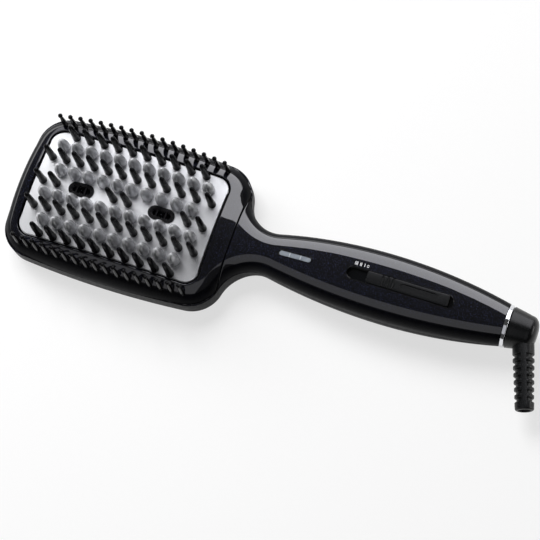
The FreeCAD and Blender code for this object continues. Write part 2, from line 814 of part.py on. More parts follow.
pads = []
for side in (1, -1):
    pad = block(
        -D["heater_length"] / 2, D["heater_length"] / 2, side * D["heater_y"] - D["heater_width"] / 2,
        side * D["heater_y"] + D["heater_width"] / 2, D["heater_top"], ABOVE,
    )
    pads.append(pad.common(below_plate(D["plate_thickness"] / 2)))
plate_posts = []
plate_holes = []
for x, y in plate_screw_places:
    post_top = plate_height(x, y) - D["plate_thickness"] / 2
    post, hole = bored_post(x, y, D["plate_post_foot"], post_top, D["plate_post_radius"])
    plate_posts.append(post)
    plate_holes.append(hole)
for places in strip_rows.values():
    for x, y in places:
        plate_holes.append(rod(x, y, D["plate_post_foot"], ABOVE, D["bristle_base"] / 2 + D["seat_gap"]))
outlet_room = 2 * D["seat_gap"]
for side in (1, -1):
    plate_holes.append(stadium(
        side * D["outlet_x"], D["outlet_length"] + outlet_room, D["outlet_width"] + outlet_room,
        D["plate_post_foot"], ABOVE,
    ))
nubs = [nub(x, y) for x, y in nub_places]
plate = plate.multiFuse(pads + plate_posts).cut(plate_holes)
solid_piece("heating_plate", plate.multiFuse(nubs).removeSplitter())


# Bristle strips that come up through the plate
def bristle(x, y):
    """One tapered bristle, straight up from its bar."""
    foot = plate_height(x, y) - D["plate_thickness"] - D["seat_gap"] - D["bristle_bar_thick"] / 2
    shaft = plate_height(x, y) + D["bristle_length"] - D["bristle_tip"] / 2
    top = shaft + D["bristle_tip"] / 2
    blunt = D["bristle_tip"] / 2
    return tapered(x, y, ((foot, D["bristle_base"] / 2), (shaft, blunt), (top, blunt / 2)))


strip_form = below_plate(D["plate_thickness"] + D["seat_gap"], D["bristle_bar_thick"])
for label, places in strip_rows.items():
    margin = D["bristle_bar_width"] / 2
    bar_y = places[0][1]
    bar = block(places[0][0] - margin, places[-1][0] + margin, bar_y - margin, bar_y + margin, 0, ABOVE)
    bar = bar.common(strip_form)
    solid_piece(label, bar.multiFuse([bristle(x, y) for x, y in places]).removeSplitter())


# Edge combs: ball-tipped teeth on a bar below the bezel
def tooth(x, y):
    """One tooth: a slim taper that swells to a ball at its tip."""
    foot = front_height(x, y) - D["comb_depth"] - D["comb_bar_thick"] / 2
    top = front_height(x, y) + D["tooth_rise"]
    ball = D["tooth_ball"] / 2
    neck = D["tooth_neck"] / 2
    return tapered(x, y, (
        (foot, D["tooth_base"] / 2), (top - 2 * ball, neck), (top - ball, ball), (top, ball / 2)
    ))


comb_form = below_front(D["comb_depth"], D["comb_bar_thick"])
room = front_hollow(D["seat_gap"])
comb_half = D["comb_bar_width"] / 2
comb_bar = Part.makeCylinder(comb_bow + comb_half, ABOVE, comb_centre)
comb_bar = comb_bar.cut(Part.makeCylinder(comb_bow - comb_half, ABOVE, comb_centre))
comb_start = comb_places[0][0] - comb_half
comb_end = comb_places[-1][0] + comb_half
comb_bar = comb_bar.common(block(comb_start, comb_end, 0, BEYOND, 0, ABOVE))
comb_bar = comb_bar.common(comb_form).common(room)
comb = comb_bar.multiFuse([tooth(x, y) for x, y in comb_places]).removeSplitter()
solid_piece("edge_comb_left", comb)
solid_piece("edge_comb_right", comb.mirror(Vector(), Vector(0, 1, 0)))

# Ion outlets: oval cups with a rim on the plate and two bars across, and the needles that stand in them
needles = []
for label, side in (("ion_grille_front", -1), ("ion_grille_rear", 1)):
    x = side * D["outlet_x"]
    inner_length = D["outlet_length"] - 2 * D["outlet_wall"]
    inner_width = D["outlet_width"] - 2 * D["outlet_wall"]
    top_form = below_plate(-D["outlet_proud"])
    cup = stadium(x, D["outlet_length"], D["outlet_width"], D["outlet_floor"], ABOVE).common(top_form)
    rim_room = 2 * D["outlet_rim"]
    rim = stadium(x, D["outlet_length"] + rim_room, D["outlet_width"] + rim_room, 0, ABOVE)
    rim = rim.common(below_plate(-D["outlet_proud"], D["outlet_proud"]))
    well = stadium(x, inner_length, inner_width, D["outlet_floor"] + D["outlet_wall"], ABOVE)
    bars = []
    for way in (1, -1):
        spot = x + way * D["outlet_bar_spread"]
        half_bar = D["outlet_bar"] / 2
        half_span = (inner_width + D["outlet_wall"]) / 2
        bar = block(spot - half_bar, spot + half_bar, -half_span, half_span, D["outlet_bar_low"], ABOVE)
        bars.append(bar.common(top_form))
    solid_piece(label, cup.fuse(rim).cut(well).multiFuse(bars).removeSplitter())
    foot = D["outlet_floor"] + D["outlet_wall"]
    needles.append(tapered(x, 0, ((foot, D["needle_radius"]), (foot + D["needle_length"], D["needle_tip"]))))
solid_piece("ion_needles", Part.makeCompound(needles))

# Tray that carries the plate on the back shell, with ribs below the heater clamp
carrier_length = D["plate_length"] - 2 * D["carrier_inset"]
carrier_width = D["plate_width"] - 2 * D["carrier_inset"]
carrier_corner = D["plate_corner"] - D["carrier_inset"]
below_bars = below_plate(D["plate_thickness"] + D["bristle_bar_thick"] + 2 * D["seat_gap"])
carrier = rounded_box(carrier_length, carrier_width, carrier_corner, D["wall"], ABOVE).common(below_bars)
carrier = carrier.cut(rounded_box(
    carrier_length - 2 * D["carrier_wall"], carrier_width - 2 * D["carrier_wall"],
    carrier_corner - D["carrier_wall"], D["wall"] + D["carrier_floor"], ABOVE,
))
clamp_bottom = D["heater_top"] - D["heater_thick"] - D["mica_thick"] - D["clamp_thick"]
ribs = []
for x in (-D["rib_x"], 0.0, D["rib_x"]):
    half_rib = D["rib_thick"] / 2
    half_clamp = D["clamp_width"] / 2
    ribs.append(block(x - half_rib, x + half_rib, -half_clamp, half_clamp, D["wall"], clamp_bottom))
carrier_seat = D["wall"] + D["carrier_floor"]
carrier_bores = []
for x, y in plate_screw_places:
    ribs.append(rod(x, y, D["wall"], D["plate_post_foot"], D["boss_radius"]))
    carrier_bores.append(rod(x, y, 0, carrier_seat, recess))
    carrier_bores.append(rod(x, y, carrier_seat, D["plate_post_foot"], pilot))
solid_piece("plate_carrier", carrier.multiFuse(ribs).cut(carrier_bores).removeSplitter())

# Heater stack
for label, sign in (("ptc_heater_left", "heater_y"), ("ptc_heater_right", "0 - heater_y")):
    heater = bound_box(
        label,
        ("0 - heater_length / 2", sign + " - heater_width / 2", "heater_top - heater_thick"),
        ("heater_length", "heater_width", "heater_thick"),
    )
    piece(heater, label)
mica = bound_box(
    "mica_sheet",
    ("0 - clamp_length / 2", "0 - clamp_width / 2", "heater_top - heater_thick - mica_thick"),
    ("clamp_length", "clamp_width", "mica_thick"),
)
piece(mica, "mica_sheet")
clamp = bound_box(
    "heater_clamp",
    ("0 - clamp_length / 2", "0 - clamp_width / 2", "heater_top - heater_thick - mica_thick - clamp_thick"),
    ("clamp_length", "clamp_width", "clamp_thick"),
)
piece(clamp, "heater_clamp")
under_plate = plate_height(D["probe_x"] + D["sensor_length"] / 2, 0) - D["plate_thickness"] - D["seat_gap"]
sensor = Part.makeCylinder(
    D["sensor_radius"], D["sensor_length"],
    Vector(D["probe_x"] - D["sensor_length"] / 2, 0, under_plate - D["sensor_radius"]), Vector(1, 0, 0),
)
solid_piece("temperature_sensor", sensor)
under_plate = plate_height(D["probe_x"] + D["fuse_length"] / 2, 0) - D["plate_thickness"] - D["seat_gap"]
fuse = Part.makeCylinder(
    D["fuse_radius"], D["fuse_length"],
    Vector(-D["probe_x"] - D["fuse_length"] / 2, 0, under_plate - D["fuse_radius"]), Vector(1, 0, 0),
)
solid_piece("thermal_fuse", fuse)
ionizer = bound_box(
    "ionizer_module",
    ("ionizer_x", "0 - ionizer_width / 2", "wall + carrier_floor"),
    ("ionizer_length", "ionizer_width", "ionizer_height"),
)
piece(ionizer, "ionizer_module")

# Control board, its switch and its lamps
board = bound_box(
    "board_blank",
    ("board_start", "0 - board_width / 2", "board_bottom"),
    ("board_end - board_start", "board_width", "board_thick"),
)
board_bores = []
for index, (x_text, y_text) in enumerate((
    ("board_start + board_hole_x", "board_hole_y"), ("board_start + board_hole_x", "0 - board_hole_y"),
    ("board_end - board_hole_x", "board_hole_y"), ("board_end - board_hole_x", "0 - board_hole_y"),
)):
    board_bores.append(bound_cylinder(
        "board_bore_%d" % index, (x_text, y_text, "board_bottom - overcut"),
        "screw_radius + screw_gap", "board_thick + 2 * overcut",
    ))
piece(bound_cut("control_board", board, board_bores), "control_board")
leds = []
for index in range(SEGMENTS):
    spot = "lens_x + lens_pitch * %d" % (index - SEGMENTS // 2)
    leds.append(bound_box(
        "led_%d" % index,
        (spot + " - led_size / 2", "0 - led_size / 2", "board_bottom + board_thick"),
        ("led_size", "led_size", "led_height"),
    ))
piece(bound_group("indicator_leds", leds), "indicator_leds")
switch_middle = leg_middle - D["slider_travel"] / 2
board_top = D["board_bottom"] + D["board_thick"]
switch_top = board_top + D["switch_height"]
switch_body = block(
    switch_middle - D["switch_length"] / 2, switch_middle + D["switch_length"] / 2,
    -D["switch_width"] / 2, D["switch_width"] / 2, board_top, switch_top,
)
knob_room = D["knob_size"] / 2 + D["slider_gap"]
knob_slot = block(
    leg_middle - D["slider_travel"] - knob_room, leg_middle + knob_room, -knob_room, knob_room,
    switch_top - D["knob_sink"], ABOVE,
)
solid_piece("slide_switch_body", switch_body.cut(knob_slot))
lens = stadium(D["lens_x"], D["lens_length"], D["lens_width"], D["axis_height"], ABOVE)
lens = lens.common(below_front(D["lens_recess"] / 2)).cut(below_front(D["front_wall"] + D["seat_gap"]))
flange = stadium(
    D["lens_x"], D["lens_length"] + D["lens_border"], D["lens_width"] + D["lens_border"],
    D["axis_height"], ABOVE,
)
flange = flange.common(below_front(D["front_wall"] + D["seat_gap"]))
flange = flange.cut(below_front(D["front_wall"] + D["lens_flange"]))
guides = []
for index in range(SEGMENTS):
    x = D["lens_x"] + D["lens_pitch"] * (index - SEGMENTS // 2)
    low = board_top + D["led_height"] + D["seat_gap"]
    guides.append(rod(x, 0, low, top_line(x) - D["front_wall"] - D["lens_flange"] / 2, D["lens_leg"]))
solid_piece("indicator_lens", lens.multiFuse([flange] + guides).removeSplitter())

# Slide switch: thumb piece and the lever that it carries along
slider_width = D["tray_width"] - 2 * D["slider_gap"]
slider_middle = D["slider_front"] + D["slider_length"] / 2
slider_low = D["tray_floor"] + D["slider_gap"]
slider = stadium(slider_middle, D["slider_length"], slider_width, slider_low, D["slider_top"])
panel = stadium(
    D["slider_front"] + D["panel_inset"] + D["panel_length"] / 2, D["panel_length"],
    slider_width - 2 * D["panel_rim"], D["slider_top"] - D["panel_depth"], ABOVE,
)
ridges = []
for index in range(RIDGES):
    x = D["slider_front"] + D["ridge_inset"] + index * D["ridge_pitch"]
    ridge_span = slider_width - 2 * D["ridge_rim"]
    ridge = Part.makeCylinder(
        D["ridge_height"], ridge_span, Vector(x, -ridge_span / 2, D["slider_top"]), Vector(0, 1, 0)
    )
    ridges.append(ridge.common(block(0, BEYOND, -BEYOND, BEYOND, slider_low, ABOVE)))
leg = block(
    leg_middle - D["slider_leg_length"] / 2, leg_middle + D["slider_leg_length"] / 2,
    -D["slider_leg_width"] / 2, D["slider_leg_width"] / 2, D["slider_leg_foot"], slider_low + D["slider_gap"],
)
fork = block(
    leg_middle - D["knob_size"] / 2 - D["seat_gap"], leg_middle + D["knob_size"] / 2 + D["seat_gap"],
    -BEYOND, BEYOND, 0, D["knob_top"] + D["seat_gap"],
)
solid_piece("switch_slider", slider.cut(panel).multiFuse(ridges + [leg.cut(fork)]).removeSplitter())
knob = block(
    leg_middle - D["knob_size"] / 2, leg_middle + D["knob_size"] / 2, -D["knob_size"] / 2, D["knob_size"] / 2,
    switch_top - D["knob_sink"] + D["slider_gap"], D["knob_top"],
)
solid_piece("switch_knob", knob)

# Fasteners
screw_reach = D["screw_grip"] - D["overcut"]
shell_screws = []
for places, seat, meet in (
    (corner_screws, D["recess_depth"], D["boss_meet"]),
    (neck_screws, D["recess_depth"], D["axis_height"]),
    (grip_screws, D["grip_recess"], D["axis_height"]),
):
    shell_screws += [screw(x, y, seat, meet - seat + screw_reach) for x, y in places]
solid_piece("shell_screws", Part.makeCompound(shell_screws))
plate_reach = D["plate_post_foot"] - carrier_seat + screw_reach
plate_screws = [screw(x, y, carrier_seat, plate_reach) for x, y in plate_screw_places]
solid_piece("plate_screws", Part.makeCompound(plate_screws))
board_fixings = []
for x, y in board_screw_places:
    fixing = screw(x, y, 0, D["board_thick"] + screw_reach)
    fixing.rotate(Vector(x, y, 0), Vector(1, 0, 0), HALF_TURN)
    fixing.translate(Vector(0, 0, board_top))
    board_fixings.append(fixing)
solid_piece("board_screws", Part.makeCompound(board_fixings))

# Cord end: ring, bearing bush, hollow spindle, clip and rotating contacts, all turned about the handle's axis
trim_ring = bound_turning("trim_ring", (
    ("handle_end", "nose_radius + seat_gap"),
    ("handle_end + ring_width", "nose_radius + seat_gap"),
    ("handle_end + ring_width", "ring_radius"),
    ("handle_end", "ring_radius"),
))
piece(trim_ring, "trim_ring")
swivel_bush = bound_turning("swivel_bush", (
    ("handle_end - wall - bush_flange_width - bush_tail", "spindle_radius + spindle_run"),
    ("handle_end + ring_width", "spindle_radius + spindle_run"),
    ("handle_end + ring_width", "nose_radius"),
    ("handle_end", "nose_radius"),
    ("handle_end", "bush_radius"),
    ("handle_end - wall - seat_gap", "bush_radius"),
    ("handle_end - wall - seat_gap", "bush_flange"),
    ("handle_end - wall - bush_flange_width", "bush_flange"),
    ("handle_end - wall - bush_flange_width", "bush_radius"),
    ("handle_end - wall - bush_flange_width - bush_tail", "bush_radius"),
))
piece(swivel_bush, "swivel_bush")
CLIP_END = "handle_end - wall - bush_flange_width - bush_tail - swivel_gap"
CAP_START = "handle_end + ring_width + swivel_gap"
spindle = bound_turning("swivel_spindle", (
    ("spindle_start", "spindle_bore"),
    (CAP_START + " + plug_width", "spindle_bore"),
    (CAP_START + " + plug_width", "plug_radius"),
    (CAP_START, "plug_radius"),
    (CAP_START, "spindle_radius"),
    (CLIP_END, "spindle_radius"),
    (CLIP_END, "clip_groove"),
    (CLIP_END + " - clip_thick - seat_gap", "clip_groove"),
    (CLIP_END + " - clip_thick - seat_gap", "spindle_radius"),
    ("spindle_start", "spindle_radius"),
))
piece(spindle, "swivel_spindle")
clip = bound_turning("retaining_clip", (
    (CLIP_END + " - clip_thick", "clip_groove + screw_gap"),
    (CLIP_END, "clip_groove + screw_gap"),
    (CLIP_END, "clip_radius"),
    (CLIP_END + " - clip_thick", "clip_radius"),
))
piece(clip, "retaining_clip")
sleeve = bound_turning("slip_ring_sleeve", (
    ("spindle_start", "spindle_radius + screw_gap"),
    ("spindle_start + sleeve_length", "spindle_radius + screw_gap"),
    ("spindle_start + sleeve_length", "sleeve_radius"),
    ("spindle_start", "sleeve_radius"),
))
piece(sleeve, "slip_ring_sleeve")
contact_start = D["spindle_start"] + (D["sleeve_length"] - D["contact_pitch"] - D["contact_width"]) / 2
rings = []
springs = []
for index in range(CONTACTS):
    x = contact_start + index * D["contact_pitch"]
    middle = Vector(x, 0, D["axis_height"])
    outer = Part.makeCylinder(D["contact_radius"], D["contact_width"], middle, Vector(1, 0, 0))
    inner_radius = D["sleeve_radius"] + D["screw_gap"]
    inner = Part.makeCylinder(inner_radius, D["contact_width"], middle, Vector(1, 0, 0))
    rings.append(outer.cut(inner))
    inside_y = D["contact_radius"] + D["swivel_gap"]
    springs.append(block(
        x, x + D["contact_width"], inside_y, inside_y + D["spring_thick"],
        D["block_foot"], D["axis_height"] + D["nose_radius"],
    ))
solid_piece("slip_rings", Part.makeCompound(rings))
solid_piece("contact_springs", Part.makeCompound(springs))
contact_block = bound_box(
    "contact_block",
    ("spindle_start", "contact_radius + swivel_gap + spring_thick", "block_foot"),
    ("sleeve_length", "block_thick", "axis_height + nose_radius - block_foot"),
)
piece(contact_block, "contact_block")


# End cap and the boot at its side
def cap_outside(start):
    """Full outer form of the cap: a taper with a domed end."""
    mouth = D["cap_mouth"]
    slim = D["cap_end_radius"]
    long = start + D["cap_length"]
    ball_radius = (slim ** 2 + D["cap_dome"] ** 2) / (2 * D["cap_dome"])
    ball = Part.makeSphere(ball_radius, Vector(long + D["cap_dome"] - ball_radius, 0, D["axis_height"]))
    dome = ball.common(block(long, BEYOND, -BEYOND, BEYOND, -BEYOND, BEYOND))
    cone = Part.makeCone(mouth, slim, D["cap_length"], Vector(start, 0, D["axis_height"]), Vector(1, 0, 0))
    return cone.fuse(dome).removeSplitter()


cap_start = value(CAP_START)
on_axis = Vector(cap_start - D["overcut"], 0, D["axis_height"])
outside = cap_outside(cap_start)
plug_room = D["plug_width"] + D["overcut"] + D["seat_gap"]
cap_hollow = Part.makeCylinder(D["plug_radius"] + D["screw_gap"], plug_room, on_axis, Vector(1, 0, 0))
cap_well = Part.makeCylinder(D["cap_bore"], D["cap_length"] + D["overcut"], on_axis, Vector(1, 0, 0))
lean = math.radians(D["boot_lean"])
boot_way = Vector(math.sin(lean), -math.cos(lean), 0)
boot_root = Vector(D["boot_root_x"], 0, D["axis_height"])


def along_boot(shape):
    """Turns a shape made along Z from the origin onto the boot's line."""
    shape.Placement = Placement(boot_root, Rotation(Vector(0, 0, 1), boot_way))
    return shape


cap_hole = along_boot(Part.makeCylinder(D["boot_neck"] + D["screw_gap"], D["boot_reach"]))
flange_room = along_boot(Part.makeCylinder(
    D["boot_flange"] + D["seat_gap"], D["boot_foot"] + D["boot_flange_width"] + D["seat_gap"]
))
solid_piece("end_cap", outside.cut([cap_hollow, cap_well, cap_hole, flange_room]).removeSplitter())


def boot_groove(start, spine_angle):
    """One groove of the boot over nearly half its round, between two spines."""
    low = Vector(0, 0, start)
    sweep = HALF_TURN - D["boot_spine"]
    ring = Part.makeCylinder(2 * D["boot_wide"], D["boot_groove_width"], low, Vector(0, 0, 1), sweep)
    ring = ring.cut(Part.makeCylinder(D["boot_wide"] - D["boot_groove_depth"], D["boot_groove_width"], low))
    ring.rotate(Vector(), Vector(0, 0, 1), spine_angle + D["boot_spine"] / 2)
    return ring


boot_foot = Vector(0, 0, D["boot_foot"])
boot_neck = Part.makeCylinder(D["boot_neck"], D["boot_collar"] - D["boot_foot"], boot_foot)
boot_flange = Part.makeCylinder(D["boot_flange"], D["boot_flange_width"], boot_foot)
sleeve_start = Vector(0, 0, D["cap_bore"])
boot_body = Part.makeCylinder(D["boot_wide"], D["boot_collar"] - D["cap_bore"], sleeve_start)
taper_start = Vector(0, 0, D["boot_collar"])
boot_taper = Part.makeCone(D["boot_wide"], D["boot_narrow"], D["boot_reach"] - D["boot_collar"], taper_start)
boot = boot_body.fuse(boot_taper).removeSplitter()
end_edges = [e for e in boot.Edges if abs(e.BoundBox.ZMin - D["boot_reach"]) < TINY]
boot = boot.makeChamfer(D["boot_end_round"], end_edges)
grooves = []
for index in range(BOOT_GROOVES):
    for turn in (0, HALF_TURN):
        grooves.append(boot_groove(D["boot_collar"] + index * D["boot_groove_pitch"], turn))
boot = along_boot(boot.cut(grooves)).cut(outside)
boot = boot.multiFuse([along_boot(boot_neck), along_boot(boot_flange)])
boot = boot.cut(along_boot(Part.makeCylinder(D["boot_bore"], 2 * D["boot_reach"])))
solid_piece("strain_relief", boot.removeSplitter())

# Every object is sound before anything is written
doc.recompute()
for item in doc.Objects:
    if "Invalid" in item.State or "Error" in item.State:
        raise RuntimeError("failed: " + item.Label)
for item in pieces:
    if item.Shape.isNull() or not item.Shape.isValid() or not item.Shape.Solids:
        raise RuntimeError("bad shape: " + item.Label)
os.makedirs("parts", exist_ok=True)
for item in pieces:
    item.Shape.exportStep("parts/%s.step" % item.Label)
    print(item.Label, len(item.Shape.Solids), "solids", round(item.Shape.Volume, 1), "mm3")
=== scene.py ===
"""Heated styling brush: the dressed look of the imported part, in metres, in the CAD frame."""
import json
import logging
import math
from dataclasses import dataclass, field
from enum import Enum
from typing import Callable, Optional, Sequence, Union

import bmesh
import bpy
from mathutils import Matrix, Vector

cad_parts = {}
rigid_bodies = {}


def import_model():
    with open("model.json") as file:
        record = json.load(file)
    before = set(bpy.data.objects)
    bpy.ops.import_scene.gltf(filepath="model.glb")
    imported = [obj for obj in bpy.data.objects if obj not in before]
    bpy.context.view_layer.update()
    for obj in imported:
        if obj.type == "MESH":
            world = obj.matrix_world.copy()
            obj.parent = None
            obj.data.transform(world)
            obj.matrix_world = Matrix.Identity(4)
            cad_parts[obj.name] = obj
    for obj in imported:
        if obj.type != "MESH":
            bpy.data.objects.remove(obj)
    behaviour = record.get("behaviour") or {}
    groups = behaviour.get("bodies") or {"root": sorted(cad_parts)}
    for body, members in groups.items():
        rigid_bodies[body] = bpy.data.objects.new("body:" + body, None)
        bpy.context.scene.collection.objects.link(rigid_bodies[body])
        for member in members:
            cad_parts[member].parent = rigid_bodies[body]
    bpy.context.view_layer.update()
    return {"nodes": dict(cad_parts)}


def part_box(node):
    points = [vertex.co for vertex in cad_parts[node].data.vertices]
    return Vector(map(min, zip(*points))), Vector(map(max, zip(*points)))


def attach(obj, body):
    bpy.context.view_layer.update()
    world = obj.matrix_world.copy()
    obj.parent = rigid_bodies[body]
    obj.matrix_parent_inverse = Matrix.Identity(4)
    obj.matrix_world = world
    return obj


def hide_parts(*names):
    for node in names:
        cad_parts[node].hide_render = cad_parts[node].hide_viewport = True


for spare in list(bpy.data.objects):
    bpy.data.objects.remove(spare)
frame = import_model()

LOG = logging.getLogger("styling_brush")
MM = 0.001
# Points nearer to each other than this, in metres, become one
WELD = 0.002 * MM
# Edges that turn by more degrees than this stay crisp
CRISP = 34.0
# Spacing in millimetres of the points on a slot's straight sides
SLOT_STEP = 1.5
# Height in millimetres above everything that is cut from the front
CUT_TOP = 40.0
# Steps of a small rounded edge
EDGE_STEPS = 5
# Places of the paddle's long side and of the neck among the arcs of the outline
LONG_SIDE, NECK = 2, 4

Piece = bpy.types.Object
Tree = bpy.types.NodeTree
Socket = bpy.types.NodeSocket
Given = Union[float, Socket]
Point = tuple[float, float, float]
Spot = tuple[float, float]
Rows = list[list[Point]]
Shape = tuple[list[Point], list[tuple[int, ...]]]
Height = Callable[[float, float], float]


class Body(Enum):
    """The moving bodies of the frame."""

    HOUSING = "housing"
    SWITCH = "switch"
    CORD_END = "cord_end"


# ---------------------------------------------------------------- nodes


def linear(code: str) -> tuple[float, float, float, float]:
    """Turns an sRGB hex value to a linear colour.

    Args:
        code: six hex digits after a hash sign.

    Returns:
        Linear red, green, blue and full opacity.
    """
    shares = [int(code[start:start + 2], 16) / 255 for start in (1, 3, 5)]
    red, green, blue = [s / 12.92 if s <= 0.04045 else ((s + 0.055) / 1.055) ** 2.4 for s in shares]
    return red, green, blue, 1.0


def add_node(tree: Tree, kind: str, inputs: Optional[dict] = None, **settings: object) -> bpy.types.Node:
    """Adds a node with its settings and links.

    Args:
        tree: the tree that gets the node.
        kind: Blender's name of the node type.
        inputs: a value, or an output socket to link, for each input's name or number.
        settings: properties of the node itself.

    Returns:
        The new node.
    """
    node = tree.nodes.new(kind)
    for name, setting in settings.items():
        setattr(node, name, setting)
    for key, given in (inputs or {}).items():
        if isinstance(given, Socket):
            tree.links.new(given, node.inputs[key])
        else:
            node.inputs[key].default_value = given
    return node


def out_of(
    tree: Tree, kind: str, inputs: Optional[dict] = None, output: Union[int, str] = 0, **settings: object
) -> Socket:
    """Adds a node as add_node does, and gives one of its outputs."""
    return add_node(tree, kind, inputs, **settings).outputs[output]


def maths(tree: Tree, operation: str, first: Given, second: Given = 0.5) -> Socket:
    """Works out one or two values."""
    return out_of(tree, "ShaderNodeMath", {0: first, 1: second}, operation=operation)


def ranged(tree: Tree, value: Given, span: Spot, onto: Spot = (0.0, 1.0)) -> Socket:
    """Maps a value from one span onto another, and holds it there."""
    inputs = {"Value": value, "From Min": span[0], "From Max": span[1], "To Min": onto[0], "To Max": onto[1]}
    return out_of(tree, "ShaderNodeMapRange", inputs, "Result")


def blended(tree: Tree, share: Given, first: object, second: object) -> Socket:
    """Mixes two colours by a share."""
    # Inputs 6 and 7 and output 2 are the ones of this node that hold colours
    return out_of(tree, "ShaderNodeMix", {"Factor": share, 6: first, 7: second}, 2, data_type="RGBA")


def bare_tree(owner: Union[bpy.types.Material, bpy.types.World]) -> Tree:
    """Gives the emptied node tree of a material or a world."""
    owner.use_nodes = True
    owner.node_tree.nodes.clear()
    return owner.node_tree


# ---------------------------------------------------------------- shapes


def quarter(steps: int) -> list[float]:
    """Gives the angles of a quarter turn in equal steps, with both ends."""
    return [math.pi / 2 * step / steps for step in range(steps + 1)]


def around(sides: int, shift: float = 0.0) -> list[float]:
    """Gives the angles of a full turn in equal steps, shifted by a share of a step."""
    return [2 * math.pi * (turn + shift) / sides for turn in range(sides)]


def between(first: Spot, second: Spot, share: float) -> Spot:
    """Gives the spot at a share of the way from one to another."""
    return first[0] + (second[0] - first[0]) * share, first[1] + (second[1] - first[1]) * share


def level(height: float) -> Height:
    """Gives a height that is the same everywhere."""
    return lambda x, y: height


def lofted(rows: Rows, loop: bool = False, caps: tuple[bool, bool] = (True, True)) -> Shape:
    """Joins closed rows of points into faces.

    Args:
        rows: rows with the same number of points each.
        loop: whether the last row joins the first.
        caps: whether the first and the last row are filled.

    Returns:
        The points and faces.
    """
    count, last = len(rows[0]), len(rows) - 1
    faces: list[tuple[int, ...]] = []
    for upper in range(len(rows) if loop else last):
        start, after = upper * count, (upper + 1) % len(rows) * count
        for left in range(count):
            right = (left + 1) % count
            faces.append((start + left, start + right, after + right, after + left))
    if caps[0]:
        faces.append(tuple(range(count))[::-1])
    if caps[1]:
        faces.append(tuple(range(last * count, len(rows) * count)))
    return [point for row in rows for point in row], faces


def turned(profile: Sequence[Spot], sides: int, height: float = 0.0) -> Shape:
    """Turns a profile round a line along X.

    Args:
        profile: distance along X and radius of each point.
        sides: how many points each ring has.
        height: height of that line.

    Returns:
        The points and faces.
    """
    return lofted([
        [(along, radius * math.cos(angle), height + radius * math.sin(angle)) for angle in around(sides)]
        for along, radius in profile
    ])


def oval(middle: float, length: float, width: float, steps: int = 14) -> list[Spot]:
    """Gives the outline of a slot with round ends, along X.

    Args:
        middle: place of its middle.
        length: length over the round ends.
        width: width across.
        steps: how many steps each round end has.

    Returns:
        The outline's spots, counter-clockwise.
    """
    radius = width / 2
    reach = length / 2 - radius
    turns = [(side, math.pi * (step / steps - side / 2)) for side in (1, -1) for step in range(steps + 1)]
    ends = [
        (middle + side * reach + radius * math.cos(angle), radius * math.sin(angle)) for side, angle in turns
    ]
    spots: list[Spot] = []
    for spot, after in zip(ends, ends[1:] + ends[:1]):
        pieces = max(1, int(math.dist(spot, after) / SLOT_STEP))
        spots += [between(spot, after, part / pieces) for part in range(pieces)]
    return spots


def corner_centres(low: Spot, high: Spot, corner: float) -> list[Spot]:
    """Gives the centres of a rectangle's round corners, counter-clockwise from the high one."""
    left, right, near, far = low[0] + corner, high[0] - corner, low[1] + corner, high[1] - corner
    return [(right, far), (left, far), (left, near), (right, near)]


def rounded_outline(low: Spot, high: Spot, corner: float, steps: int = 8) -> list[Spot]:
    """Gives a rectangle with round corners, counter-clockwise."""
    return [
        (x + corner * math.cos(angle), y + corner * math.sin(angle))
        for number, (x, y) in enumerate(corner_centres(low, high, corner))
        for angle in [math.radians(90 * number + 90 * step / steps) for step in range(steps + 1)]
    ]


def prism(outline: Sequence[Spot], low: Height, high: Height) -> Shape:
    """Raises an outline between two heights that may follow a surface."""
    return lofted([[(x, y, height(x, y)) for x, y in outline] for height in (low, high)])


def soft_block(low: Point, high: Point, corner: float, edge: float) -> Shape:
    """Gives an upright block with round corners and a rolled top edge."""
    rows = [[(x, y, low[2]) for x, y in rounded_outline(low[:2], high[:2], corner)]]
    for angle in quarter(EDGE_STEPS):
        inset = edge * (1 - math.cos(angle))
        near, far = (low[0] + inset, low[1] + inset), (high[0] - inset, high[1] - inset)
        top = high[2] - edge + edge * math.sin(angle)
        rows.append([(x, y, top) for x, y in rounded_outline(near, far, corner - inset)])
    return lofted(rows)


# ---------------------------------------------------------------- pieces


def in_metres(points: Sequence[Point]) -> list[Point]:
    """Turns points in millimetres to metres."""
    return [(x * MM, y * MM, z * MM) for x, y, z in points]


def put_in_scene(name: str, data: bpy.types.ID) -> Piece:
    """Makes an object at the origin and links it to the scene."""
    made = bpy.data.objects.new(name, data)
    bpy.context.scene.collection.objects.link(made)
    return made


def shaded(mesh: bpy.types.Mesh) -> None:
    """Smooths a mesh and keeps its sharper edges crisp."""
    mesh.polygons.foreach_set("use_smooth", [True] * len(mesh.polygons))
    mesh.set_sharp_from_angle(angle=math.radians(CRISP))


def made_piece(name: str, shape: Shape, finish: "Finish") -> Piece:
    """Makes a piece from points in millimetres, with its faces outward.

    Args:
        name: the piece's name.
        shape: its points and faces.
        finish: what it is made of.

    Returns:
        The new object, at the origin.
    """
    mesh = bpy.data.meshes.new(name)
    mesh.from_pydata(in_metres(shape[0]), [], shape[1])
    work = bmesh.new()
    work.from_mesh(mesh)
    bmesh.ops.remove_doubles(work, verts=work.verts, dist=WELD)
    bmesh.ops.recalc_face_normals(work, faces=work.faces)
    if work.calc_volume(signed=True) < 0:
        bmesh.ops.reverse_faces(work, faces=work.faces)
    work.to_mesh(mesh)
    work.free()
    shaded(mesh)
    mesh.materials.append(finish.material())
    return put_in_scene(name, mesh)


def baked(piece: Piece) -> None:
    """Turns a piece's modifiers into plain mesh."""
    depsgraph = bpy.context.evaluated_depsgraph_get()
    mesh = bpy.data.meshes.new_from_object(piece.evaluated_get(depsgraph), depsgraph=depsgraph)
    mesh.name = piece.name
    piece.modifiers.clear()
    piece.data = mesh
    shaded(mesh)


